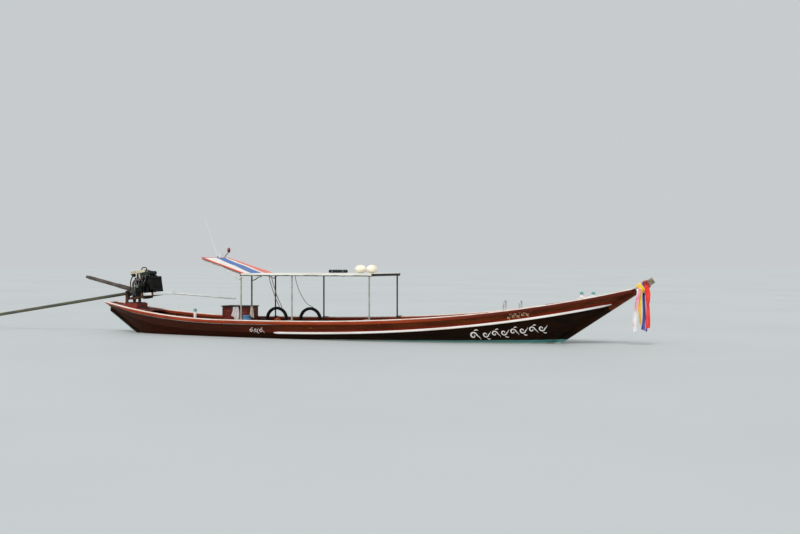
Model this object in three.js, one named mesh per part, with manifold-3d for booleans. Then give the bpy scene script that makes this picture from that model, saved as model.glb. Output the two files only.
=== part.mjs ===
// Wooden longtail boat, 13 m over its hull, with a car-size diesel on a yoke that swivels,
// and a long tail shaft.
// Millimetres. +X is the bow, +Y is port, +Z is up.
// The origin is on the waterline, amidships on the centre line.
import * as THREE from 'three';
import { mergeVertices } from 'three/addons/utils/BufferGeometryUtils.js';
import Module from 'manifold-3d';

const wasm = await Module();
wasm.setup();

// Driving dimensions
const GAP = 0.3;
const HULL = {
  sternX: -6420, bowX: 6100, pointX: 6220, midX: 200, halfBeam: 1020, sternHalf: 200,
  planking: 28, fullness: 1.9, endFullness: 1.15, flare: 0.12, stations: 22, arcs: 6,
};
const SHEER = { lowX: -2900, low: 380, foreRise: 740, foreRun: 8950, forePower: 2.92, aftRise: 330,
  aftRun: 3460, aftPower: 1.95 };
const RUB = { low: 130, foreRise: 700, foreRun: 8590, forePower: 2.75, aftRise: 510, aftRun: 3520,
  aftPower: 2.6 };
const KEEL = { depth: 360, rocker: 0.004, stemX: 4420, stemSlope: 0.67, sternX: -5560, sternSlope: 0.6875,
  blend: 50 };
const KEEL_BAR = { width: 64, depth: 80 };
const STEM = { footX: 4150, footZ: -220, headX: 6450, headZ: 1310, depth: 120, width: 70 };
const RUB_STRAKE = { fromX: -1560, toX: 5600, height: 46, proud: 26 };
const GUNWALE = { below: 64, above: 20, proud: 40, lip: 62, endX: 6050 };
const RIB = { firstX: -5900, pitch: 990, count: 12, width: 42, depth: 55, floorTop: -225 };
const RISER = { fromX: -3890, toX: 2900, top: 40, height: 42, depth: 37 };
const KEELSON = { fromX: -5960, toX: 5020, half: 45, height: 60 };
const FLOOR = { fromX: -4200, toX: 3650, thick: 24 };
const THWART = { thick: 30 };
// One row for each thwart: place of its middle, width along the boat
const THWARTS = [[-3620, 500], [-2510, 600], [-1410, 260], [300, 250], [1500, 250], [2700, 250]];
const DECK = { drop: 36, thick: 24, camber: 0.12, foreX: 4300, foreEndX: 5900, aftX: -5150, aftEndX: -6370 };
const TRANSOM_X = -6376;

const CANOPY = { aftX: -2400, midX: -1150, foreX: 665, railY: 820, railZ: 1385, tube: 18, post: 17,
  overhang: 25, sheet: 24 };
const TAIL = { endX: -3530, endZ: 1740, rootY: 665, railY: 565, edge: 35, sheet: 20, lead: 25, strutZ: 1290,
  strutReach: 0.6, bowAt: 0.46 };
const LAMP = { y: 480, stalk: 100, radius: 48 };
const MAST = { radius: 7, y: 190, lean: 380, height: 985, below: 30 };
const HELM_POST = { x: CANOPY.aftX, y: -330 };
const LOCKER = { x0: -3410, x1: -2720, y0: 100, y1: 560, z1: 665, wall: 22, lid: 22, overhang: 26, hinge: 6 };
const TYRE = { radius: 285, width: 84, tread: 62, y: 640, sides: 26, aftX: -2270, foreX: -1410 };
const FLOAT = { x: 120, spacing: 270, radius: 118, height: 0.78 };
const MAT = { x: -420, length: 430, radius: 42 };
const LADDER = { xs: [3180, 3530], clear: 6, rise: 225, drop: 640, tube: 13, rungs: 3, rungPitch: 220 };
const BITT = { xs: [5010, 5250], radius: 34, top: 1064, lap: 60, halfY: 45 };
const AFT_BITT = { x: -3830, y: -400, radius: 36, top: 615 };
const DRUM = { x: -2460, y: -455, radius: 96, height: 400 };

// One row for each sash: name, finish, distance down from the head, band width, tail width at its top and
// at its end, drop of the tail, side (1 is port), sway of the end along the boat
const SASHES = [
  ['sash_white', 'white', 362, 38, 40, 84, 910, -1, -70],
  ['sash_pink', 'pink', 317, 40, 40, 70, 660, 1, -50],
  ['sash_yellow', 'yellow', 270, 42, 44, 74, 930, -1, -10],
  ['sash_blue', 'blue', 222, 44, 54, 100, 990, 1, 20],
  ['sash_red', 'red', 146, 90, 70, 110, 950, -1, 30],
];

const PIVOT = { x: -5850, z: 940, pitch: 8.5 };
const SWIVEL = { x: -5700, plateZ: 700, plate: 16, disc: 135, pin: 25, pinDrop: 45, armY: 140, arm: 25,
  armX: 36, armTop: 995 };
const REST = { x: -5600, radius: 34 };
const BED = { x0: -5880, x1: -5530, halfY: 225, top: 699 };
const TRUNNION = { radius: 20, clear: 1.2 };
const SHAFT = { tube: 37, bore: 30, flange: -64, plug: 90, to: -4750, bearing: 50, skeg: 200 };
const PROP = { x: -4820, radius: 172, hub: 34, shaft: 22, stub: 60, running: 0.5, blades: 2, chord: 78,
  pitch: 38 };
const CRADLE = { x0: -50, x1: 790, z0: -165, z1: -122, y0: 92, y1: 128, plate: 20, plateX: 44 };
const ENGINE = { x0: 240, x1: 610, halfY: 150, z0: -105, z1: 200, sumpX: 375, sumpZ: -200, headTop: 330,
  coverTop: 425 };
const RADIATOR = { x0: 700, x1: 770, halfY: 205, z0: -74, z1: 262, fan: 165 };

// Colours, roughness and metalness of the finishes
const FINISH = {
  darkPlank: [0x2e1009, 0.45, 0], redPlank: [0x6b2413, 0.4, 0], varnish: [0xa04a26, 0.4, 0],
  whitePaint: [0xf2ece4, 0.5, 0],
  tealPaint: [0x6fa9a4, 0.6, 0], redPaint: [0xa33a2c, 0.5, 0], rawTimber: [0x8a6a4c, 0.8, 0],
  weathered: [0x8f8676, 0.9, 0],
  tube: [0xb9bab6, 0.45, 0.6], darkTube: [0x4c5356, 0.5, 0.6], canvas: [0xe9e6dc, 0.8, 0],
  stripes: [0xd9584a, 0.8, 0],
  rubber: [0x17191a, 0.8, 0], foam: [0xf4efe2, 0.8, 0], mat: [0x2b3230, 0.9, 0], steel: [0xd4d6d5, 0.35, 0.8],
  castIron: [0x2a2724, 0.7, 0.4], rust: [0x6e4632, 0.85, 0.3], greyPaint: [0x7a8178, 0.6, 0.2],
  soot: [0x4b423c, 0.8, 0.3],
  tan: [0xc9bda6, 0.6, 0], bronze: [0xa9813c, 0.4, 0.9], bluePlastic: [0x3f86c4, 0.4, 0],
  redLens: [0xa3201c, 0.2, 0],
  red: [0xe8332c, 0.7, 0], yellow: [0xf2c63a, 0.7, 0], blue: [0x5a52a8, 0.7, 0], pink: [0xf09bb6, 0.7, 0],
  white: [0xf6f3f0, 0.7, 0],
};

const boat = new THREE.Group();
const V = (x, y, z) => new THREE.Vector3(x, y, z);

// Solids: joining and cutting

function volumeOf(geometry) {
  const p = geometry.attributes.position;
  const index = geometry.index;
  const [a, b, c] = [V(), V(), V()];
  let sum = 0;
  for (let i = 0; i < index.count; i += 3) {
    a.fromBufferAttribute(p, index.getX(i));
    b.fromBufferAttribute(p, index.getX(i + 1));
    c.fromBufferAttribute(p, index.getX(i + 2));
    sum += a.dot(b.cross(c)) / 6;
  }
  return sum;
}

// Merges the vertices, and turns the faces outwards where they point in
function closed(geometry) {
  const bare = new THREE.BufferGeometry();
  bare.setAttribute('position', geometry.attributes.position.clone());
  if (geometry.index) bare.setIndex(geometry.index.clone());
  const merged = mergeVertices(bare, 1e-3);
  const faces = [];
  const id = merged.index;
  for (let i = 0; i < id.count; i += 3) {
    const [a, b, c] = [id.getX(i), id.getX(i + 1), id.getX(i + 2)];
    if (a !== b && b !== c && c !== a) faces.push(a, b, c);
  }
  merged.setIndex(faces);
  if (volumeOf(merged) < 0) {
    for (let i = 0; i < faces.length; i += 3) [faces[i + 1], faces[i + 2]] = [faces[i + 2], faces[i + 1]];
    merged.setIndex(faces);
  }
  return merged;
}

function solid(geometry) {
  const g = closed(geometry);
  return new wasm.Manifold(new wasm.Mesh({
    numProp: 3,
    vertProperties: new Float32Array(g.attributes.position.array),
    triVerts: new Uint32Array(g.index.array),
  }));
}

function shape(body) {
  const mesh = body.getMesh();
  const geometry = new THREE.BufferGeometry();
  geometry.setAttribute('position', new THREE.BufferAttribute(new Float32Array(mesh.vertProperties), 3));
  geometry.setIndex(new THREE.BufferAttribute(new Uint32Array(mesh.triVerts), 1));
  geometry.computeVertexNormals();
  return geometry;
}

// Distance from the middle of a faceted round to its flats
const flatOf = (radius, sides) => radius * Math.cos(Math.PI / sides);

const join = (pieces) => pieces.map((p) => solid(p)).reduce((a, b) => a.add(b));

function add(name, geometry, [color, roughness, metalness], parent = boat) {
  const mesh = new THREE.Mesh(geometry, new THREE.MeshStandardMaterial({ color, roughness, metalness }));
  mesh.name = name;
  parent.add(mesh);
  return mesh;
}

// Basic shapes

function box(x0, x1, y0, y1, z0, z1) {
  return new THREE.BoxGeometry(x1 - x0, y1 - y0, z1 - z0).translate((x0 + x1) / 2, (y0 + y1) / 2,
    (z0 + z1) / 2);
}

function rod(from, to, radius, sides = 10, endRadius = radius) {
  const along = to.clone().sub(from);
  const g = new THREE.CylinderGeometry(endRadius, radius, along.length(), sides);
  g.applyQuaternion(new THREE.Quaternion().setFromUnitVectors(V(0, 1, 0), along.clone().normalize()));
  const mid = from.clone().add(to).multiplyScalar(0.5);
  return g.translate(mid.x, mid.y, mid.z);
}

// A round tube bent through the given points
function bentTube(points, radius, sides = 10, steps = 16) {
  const outline = new THREE.Shape();
  outline.absarc(0, 0, radius, 0, Math.PI * 2);
  const path = new THREE.CatmullRomCurve3(points);
  return new THREE.ExtrudeGeometry(outline, { steps, extrudePath: path, curveSegments: sides / 2,
    bevelEnabled: false });
}

// Turned about the X axis from a profile of [x, radius] pairs that starts and ends on the axis
function turnedOnX(profile, sides = 20) {
  const g = new THREE.LatheGeometry(profile.map(([x, r]) => new THREE.Vector2(r, x)), sides);
  return g.rotateZ(-Math.PI / 2);
}

// Closed rings with equal numbers of points, skinned in order and capped at both ends
function loft(rings) {
  const n = rings[0].length;
  const points = rings.flat();
  const faces = [];
  for (let r = 0; r < rings.length - 1; r++) {
    for (let i = 0; i < n; i++) {
      const [a, b] = [r * n + i, r * n + ((i + 1) % n)];
      faces.push(a, b, a + n, b, b + n, a + n);
    }
  }
  [[0, false], [rings.length - 1, true]].forEach(([r, flip]) => {
    const flat = rings[r].map((p) => new THREE.Vector2(p.y, p.z));
    const turned = THREE.ShapeUtils.isClockWise(flat) !== flip;
    THREE.ShapeUtils.triangulateShape(flat, []).forEach(([a, b, c]) => {
      const [i, j, k] = [a, b, c].map((q) => r * n + q);
      if (turned) faces.push(i, j, k);
      else faces.push(i, k, j);
    });
  });
  const g = new THREE.BufferGeometry().setFromPoints(points);
  g.setIndex(faces);
  return g;
}

// Hull lines

const span = (x) => (x >= HULL.midX ? (x - HULL.midX) / (HULL.pointX - HULL.midX) :
  (HULL.midX - x) / (HULL.midX - HULL.sternX));

function curveRise(line, x) {
  const d = x - SHEER.lowX;
  if (d >= 0) return line.low + line.foreRise * (d / line.foreRun) ** line.forePower;
  return line.low + line.aftRise * (-d / line.aftRun) ** line.aftPower;
}

const sheerZ = (x) => curveRise(SHEER, x);
const rubZ = (x) => curveRise(RUB, x);

// The keel line is the smooth upper envelope of the rockered bottom, the raked stem and the raked stern
function keelZ(x) {
  const lines = [
    -KEEL.depth + KEEL.rocker * (x / 1000) ** 2 * 1000,
    KEEL.stemSlope * (x - KEEL.stemX),
    -KEEL.sternSlope * (x - KEEL.sternX),
  ];
  const top = Math.max(...lines);
  return top + KEEL.blend * Math.log(lines.reduce((s, z) => s + Math.exp((z - top) / KEEL.blend), 0));
}

function sheerHalf(x) {
  const taper = 1 - span(x) ** 2.2;
  if (x >= HULL.midX) return HULL.halfBeam * taper;
  return HULL.sternHalf + (HULL.halfBeam - HULL.sternHalf) * taper;
}

const fullness = (x) => HULL.endFullness + (HULL.fullness - HULL.endFullness) * (1 - Math.min(1,
  span(x)) ** 2.5);

// Half-breadth of the hull, inset by a distance, at height z
function halfWidth(x, z, inset = 0) {
  const keel = keelZ(x) + inset;
  const depth = (sheerZ(x) - z) / (sheerZ(x) - keel);
  const p = fullness(x);
  return (sheerHalf(x) - inset) * (1 - depth ** p) ** (1 / p) * (1 - HULL.flare * depth);
}

function stationsBetween(from, to) {
  const inner = [];
  for (let i = 0; i <= HULL.stations; i++) {
    const u = -1 + (2 * i) / HULL.stations;
    const reach = u < 0 ? HULL.midX - HULL.sternX : HULL.bowX - HULL.midX;
    const x = HULL.midX + Math.sign(u) * reach * (1 - (1 - Math.abs(u)) ** 1.35);
    if (x > from + 20 && x < to - 20) inner.push(x);
  }
  return [from, ...inner, to];
}

// One transverse section: a superellipse from the keel up to the sheer on each side, then lifted walls
function section(x, inset, lift) {
  const top = sheerZ(x);
  const keel = keelZ(x) + inset;
  const half = sheerHalf(x) - inset;
  const side = [];
  for (let k = 0; k <= HULL.arcs; k++) {
    const a = (k / HULL.arcs) * (Math.PI / 2);
    const depth = Math.cos(a) ** (2 / fullness(x));
    const y = half * Math.sin(a) ** (2 / fullness(x)) * (1 - HULL.flare * depth);
    side.push([y, top - (top - keel) * depth]);
  }
  if (lift > 0) side.push([half, top + lift]);
  const starboard = side.map(([y, z]) => V(x, -y, z)).reverse();
  const port = side.slice(1).map(([y, z]) => V(x, y, z));
  return [...starboard, ...port];
}

function hullSolid(inset, lift, from = HULL.sternX, to = HULL.bowX) {
  return solid(loft(stationsBetween(from, to).map((x) => section(x, inset, lift))));
}

// Everything above or below a line of heights, as a wide prism over a stretch of the hull
function prism(heightOf, from, to, reach, halfY = 1400) {
  const rings = stationsBetween(from, to).map((x) => {
    const z = heightOf(x);
    return [V(x, -halfY, z), V(x, halfY, z), V(x, halfY, z + reach), V(x, -halfY, z + reach)];
  });
  return solid(loft(rings));
}

// The space inside the planking, inset further; it ends short of the stem and the stern
const CORE_ENDS = [-6360, 5960];
const core = (inset, lift = 300) => hullSolid(HULL.planking + inset, lift, CORE_ENDS[0],
  CORE_ENDS[1] - 3 * inset);
const outer = hullSolid(0, 0);
const outerClear = hullSolid(-GAP, GAP);

// Stem post: a square timber that runs up past the planking to a bare head
const stemLength = Math.hypot(STEM.headX - STEM.footX, STEM.headZ - STEM.footZ);
const stemRake = Math.atan2(STEM.headZ - STEM.footZ, STEM.headX - STEM.footX);

function stemBar(extra) {
  const g = new THREE.BoxGeometry(stemLength + 2 * extra, STEM.width + 2 * extra, STEM.depth + 2 * extra);
  return g.rotateY(-stemRake).translate((STEM.footX + STEM.headX) / 2, 0, (STEM.footZ + STEM.headZ) / 2);
}

// Height of the gunwale's flat facets at x, which run straight from station to station
function railTop(x) {
  const stations = stationsBetween(HULL.sternX, GUNWALE.endX);
  const i = stations.findIndex((station) => station > x);
  const [a, b] = [stations[i - 1], stations[i]];
  return sheerZ(a) + ((sheerZ(b) - sheerZ(a)) * (x - a)) / (b - a) + GUNWALE.above;
}

function makeHull() {
  const stemCut = solid(stemBar(GAP));
  const shell = outer.subtract(core(0)).subtract(stemCut);
  const above = prism(rubZ, -6500, 6300, 2000);
  const aboveClear = prism((x) => rubZ(x) + GAP, -6500, 6300, 2000);
  const forward = solid(box(TRANSOM_X + GAP, 6500, -1500, 1500, -900, 2200));
  add('bottom_planking', shape(shell.subtract(above).intersect(forward)), FINISH.darkPlank);
  const upper = shell.intersect(aboveClear).intersect(forward);
  for (const [side, y0, y1] of [['port', GAP / 2, 1500], ['starboard', -1500, -GAP / 2]]) {
    add(`side_strake_${side}`, shape(upper.intersect(solid(box(-6500, 6500, y0, y1, -500, 2200)))),
      FINISH.redPlank);
  }
  add('transom', shape(outer.intersect(solid(box(-6500, TRANSOM_X, -600, 600, 0, 2000)))), FINISH.redPaint);
  add('stem_post', stemBar(0), FINISH.weathered);

  const keelRings = stationsBetween(HULL.sternX + 10, 4700).map((x) => {
    const z = keelZ(x) - 1;
    const half = KEEL_BAR.width / 2;
    return [V(x, -half, z - KEEL_BAR.depth), V(x, half, z - KEEL_BAR.depth), V(x, half, z), V(x, -half, z)];
  });
  add('keel', shape(solid(loft(keelRings)).subtract(stemCut).subtract(outerClear)), FINISH.tealPaint);
}

function makeRails() {
  for (const [side, s] of [['port', 1], ['starboard', -1]]) {
    const rail = stationsBetween(HULL.sternX, GUNWALE.endX).map((x) => {
      const [top, half] = [sheerZ(x), sheerHalf(x)];
      const inner = Math.max(half - GUNWALE.lip, STEM.width / 2 + 1);
      return [
        V(x, s * inner, top - GUNWALE.below), V(x, s * (half + GUNWALE.proud), top - GUNWALE.below),
        V(x, s * (half + GUNWALE.proud), top + GUNWALE.above), V(x, s * inner, top + GUNWALE.above),
      ];
    });
    add(`gunwale_${side}`, shape(solid(loft(rail)).subtract(outerClear)), FINISH.varnish);
    const strake = stationsBetween(RUB_STRAKE.fromX, RUB_STRAKE.toX).map((x) => {
      const [z, half] = [rubZ(x), halfWidth(x, rubZ(x))];
      const [z0, z1] = [z - RUB_STRAKE.height / 2, z + RUB_STRAKE.height / 2];
      const [y0, y1] = [Math.max(half - 30, 1), half + RUB_STRAKE.proud];
      return [V(x, s * y0, z0), V(x, s * y1, z0), V(x, s * y1, z1), V(x, s * y0, z1)];
    });
    const stemCut = solid(stemBar(GAP));
    add(`rub_strake_${side}`, shape(solid(loft(strake)).subtract(outerClear).subtract(stemCut)),
      FINISH.whitePaint);
  }
}

function makeInside() {
  const slabs = [];
  for (let i = 0; i < RIB.count; i++) {
    const x = RIB.firstX + i * RIB.pitch;
    slabs.push(box(x - RIB.width / 2, x + RIB.width / 2, -1400, 1400, -700, 1600));
  }
  const underDeck = prism((x) => sheerZ(x) - DECK.drop - DECK.thick - 1, -6500, 6300, -3000);
  const ribOuter = core(0.5).intersect(underDeck).subtract(solid(stemBar(1)));
  const hold = core(RIB.depth + 0.5).intersect(solid(box(-7000, 7000, -1500, 1500, RIB.floorTop, 3000)));
  const ribs = join(slabs).intersect(ribOuter).subtract(hold);
  const riserBox = solid(box(RISER.fromX, RISER.toX, -1400, 1400, RISER.top - RISER.height, RISER.top));
  const risers = riserBox.intersect(core(RIB.depth - 1)).subtract(core(RIB.depth + RISER.depth));
  const spine = stationsBetween(KEELSON.fromX, KEELSON.toX).map((x) => {
    const [z0, z1] = [keelZ(x), keelZ(x) + HULL.planking + KEELSON.height];
    return [V(x, -KEELSON.half, z0), V(x, KEELSON.half, z0), V(x, KEELSON.half, z1), V(x, -KEELSON.half, z1)];
  });
  const overBoards = solid(box(FLOOR.fromX - 1, FLOOR.toX + 1, -1400, 1400, RIB.floorTop, 2000));
  const keelson = solid(loft(spine)).intersect(ribOuter).subtract(overBoards);
  add('ribs_and_risers', shape(ribs.add(risers).add(keelson)), FINISH.rawTimber);

  const boards = solid(box(FLOOR.fromX, FLOOR.toX, -1400, 1400, RIB.floorTop + GAP,
    RIB.floorTop + GAP + FLOOR.thick));
  add('floorboards', shape(boards.intersect(core(RIB.depth + 3))), FINISH.rawTimber);
  THWARTS.forEach(([x, width], i) => {
    const plank = box(x - width / 2, x + width / 2, -1400, 1400, RISER.top + GAP,
      RISER.top + GAP + THWART.thick);
    add(`thwart_${i + 1}`, shape(solid(plank).intersect(core(RIB.depth + 4))), FINISH.rawTimber);
  });
}

// A crowned deck between the sides, from its underside up to its arched top
function deckSolid(from, to, extra, thick = DECK.thick) {
  const rings = stationsBetween(from, to).map((x) => {
    const half = Math.max(sheerHalf(x), 30);
    const base = sheerZ(x) - DECK.drop;
    const ring = [V(x, half, base - thick), V(x, -half, base - thick)];
    for (let k = 0; k <= 8; k++) {
      const t = -1 + k / 4;
      ring.push(V(x, half * t, base + extra + DECK.camber * half * (1 - t * t)));
    }
    return ring;
  });
  return solid(loft(rings));
}

function makeDecks() {
  const inside = core(1.5);
  const stemCut = solid(stemBar(1));
  const fore = deckSolid(DECK.foreX, DECK.foreEndX, 0).intersect(inside).subtract(stemCut);
  add('foredeck', shape(fore), FINISH.redPaint);
  add('stern_deck', shape(deckSolid(DECK.aftEndX + 15, DECK.aftX, 0).intersect(inside)), FINISH.redPaint);

  const bed = solid(box(BED.x0, BED.x1, -BED.halfY, BED.halfY, sheerZ(BED.x1) - DECK.drop - 10, BED.top));
  const pinHole = solid(rod(V(SWIVEL.x, 0, BED.top - SWIVEL.pinDrop - 8), V(SWIVEL.x, 0, BED.top + 20),
    SWIVEL.pin + 1, 20));
  const deckTop = deckSolid(DECK.aftEndX + 15, DECK.aftX, GAP, 300);
  add('engine_bed', shape(bed.subtract(deckTop).subtract(pinHole)), FINISH.rawTimber);

  const [aftX, foreX] = BITT.xs;
  const [low, high] = [sheerZ(aftX - BITT.lap), sheerZ(foreX + BITT.lap)].map((z) => z - DECK.drop);
  const run = foreX - aftX + 2 * BITT.lap;
  const bar = new THREE.BoxGeometry(run, 2 * BITT.halfY, 100).rotateY(-Math.atan2(high - low, run));
  bar.translate((aftX + foreX) / 2, 0, (low + high) / 2 + 26);
  const posts = BITT.xs.map((x) => rod(V(x, 0, low + 20), V(x, 0, BITT.top), BITT.radius, 12));
  const bitts = join([bar, ...posts]).subtract(deckSolid(DECK.foreX, DECK.foreEndX, GAP,
    300)).intersect(core(3, 400));
  add('bow_bitts', shape(bitts), FINISH.whitePaint);

  const stand = rod(V(AFT_BITT.x, AFT_BITT.y, RISER.top + THWART.thick + 2 * GAP),
    V(AFT_BITT.x, AFT_BITT.y, AFT_BITT.top), AFT_BITT.radius, 12);
  add('aft_bitt', stand, FINISH.tealPaint);
}

function makeCanopy() {
  const posts = [['aft', CANOPY.aftX], ['mid', CANOPY.midX], ['fore', CANOPY.foreX]];
  const postTop = CANOPY.railZ - CANOPY.tube - GAP;
  for (const [side, s] of [['port', 1], ['starboard', -1]]) {
    for (const [place, x] of posts) {
      const [y0, y1] = [s * (CANOPY.railY - CANOPY.post), s * (sheerHalf(x) + 20)].sort((a, b) => a - b);
      const footZ = Math.max(railTop(x - 40), railTop(x + 40)) + GAP;
      const foot = box(x - 40, x + 40, y0, y1, footZ, footZ + 8);
      const post = rod(V(x, s * CANOPY.railY, footZ - 40), V(x, s * CANOPY.railY, CANOPY.railZ),
        CANOPY.post, 12);
      const overRail = solid(box(x - 80, x + 80, -1400, 1400, postTop, CANOPY.railZ + 100));
      add(`canopy_post_${place}_${side}`, shape(join([foot, post]).subtract(overRail)),
        s < 0 ? FINISH.tube : FINISH.darkTube);
    }
  }
  const seat = RISER.top + THWART.thick + 2 * GAP;
  add('helm_post', rod(V(HELM_POST.x, HELM_POST.y, seat), V(HELM_POST.x, HELM_POST.y, postTop), CANOPY.post,
    12), FINISH.darkTube);

  const rails = [];
  const { railY, railZ, tube } = CANOPY;
  const foreX = CANOPY.foreX + 40;
  const bows = [CANOPY.aftX, -1780, CANOPY.midX, -550, 50, foreX];
  for (const s of [1, -1]) {
    rails.push(rod(V(CANOPY.aftX - 20, s * railY, railZ), V(foreX, s * railY, railZ), tube, 10));
    const root = V(CANOPY.aftX, s * TAIL.rootY, railZ);
    const tip = V(TAIL.endX, s * TAIL.railY, TAIL.endZ);
    rails.push(rod(root, tip, tube, 10));
    const strutTop = root.clone().lerp(tip, TAIL.strutReach);
    rails.push(rod(V(CANOPY.aftX - CANOPY.post - 14, s * (railY + 6), TAIL.strutZ), strutTop, 12, 8));
  }
  bows.forEach((x) => rails.push(rod(V(x, -railY, railZ), V(x, railY, railZ), tube, 10)));
  for (const t of [TAIL.bowAt, 1]) {
    const at = V(CANOPY.aftX, 0, railZ).lerp(V(TAIL.endX, 0, TAIL.endZ), t);
    const half = TAIL.rootY + (TAIL.railY - TAIL.rootY) * t;
    rails.push(rod(V(at.x, -half, at.z), V(at.x, half, at.z), tube, 10));
  }
  add('canopy_frame', shape(join(rails)), FINISH.tube);

  const sheetZ = railZ + tube + GAP;
  const { overhang } = CANOPY;
  const roof = box(CANOPY.aftX + 14, foreX + overhang, -railY - 35, railY + 35, sheetZ,
    sheetZ + CANOPY.sheet);
  add('canopy_roof', roof, FINISH.canvas);

  const slope = Math.atan2(TAIL.endZ - railZ, CANOPY.aftX - TAIL.endX);
  const length = Math.hypot(TAIL.endZ - railZ, CANOPY.aftX - TAIL.endX);
  const [low, high] = [flatOf(tube, 10) + GAP, flatOf(tube, 10) + GAP + TAIL.sheet];
  const awning = loft([[-length, TAIL.railY], [-TAIL.lead, TAIL.rootY]].map(([x, y]) => {
    const half = y + TAIL.edge;
    return [V(x, -half, low), V(x, half, low), V(x, half, high), V(x, -half, high)];
  }));
  awning.rotateY(slope).translate(CANOPY.aftX, 0, railZ);
  add('tail_awning', awning, FINISH.stripes);

  const roofTop = sheetZ + CANOPY.sheet + GAP;
  const lumps = [0, 1].map((i) => {
    const ball = new THREE.SphereGeometry(FLOAT.radius, 14, 8).rotateX(Math.PI / 2).scale(1.12, 1,
      FLOAT.height);
    return ball.translate(FLOAT.x + i * FLOAT.spacing, 0, roofTop + FLOAT.radius * FLOAT.height);
  });
  const tie = rod(V(FLOAT.x, 0, roofTop + 70), V(FLOAT.x + FLOAT.spacing, 0, roofTop + 70), 34, 10);
  add('roof_floats', shape(join([...lumps, tie])), FINISH.foam);
  const matZ = roofTop + MAT.radius * Math.cos(Math.PI / 16);
  const roll = new THREE.CylinderGeometry(MAT.radius, MAT.radius, MAT.length,
    16).rotateY(Math.PI / 16).rotateZ(Math.PI / 2);
  add('rolled_mat', roll.translate(MAT.x, 0, matZ), FINISH.mat);

  const top = V(TAIL.endX, 0, TAIL.endZ);
  const mastGap = (flatOf(CANOPY.tube, 10) + MAST.radius) * Math.hypot(1, MAST.lean / MAST.height) + 2 * GAP;
  const mastFoot = V(top.x - mastGap + (MAST.below * MAST.lean) / MAST.height, MAST.y, top.z - MAST.below);
  const mast = rod(mastFoot, V(mastFoot.x - MAST.lean, MAST.y, mastFoot.z + MAST.height), MAST.radius, 8,
    MAST.radius / 2);
  add('whip_aerial', mast, FINISH.white);
  const arm = V(top.x - flatOf(CANOPY.tube, 10) - 12 - GAP, LAMP.y, top.z - 12);
  const lens = new THREE.SphereGeometry(LAMP.radius, 14, 10).scale(0.8, 0.8, 1.25);
  const lamp = join([
    rod(arm, V(arm.x, arm.y, arm.z + 70), 12, 8),
    rod(V(arm.x, arm.y, arm.z + 60), V(arm.x + LAMP.stalk, arm.y, arm.z + 180), 9, 8),
    lens.translate(arm.x + LAMP.stalk + 8, arm.y, arm.z + 234),
  ]);
  add('stern_lamp', shape(lamp), FINISH.redLens);
}

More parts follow.
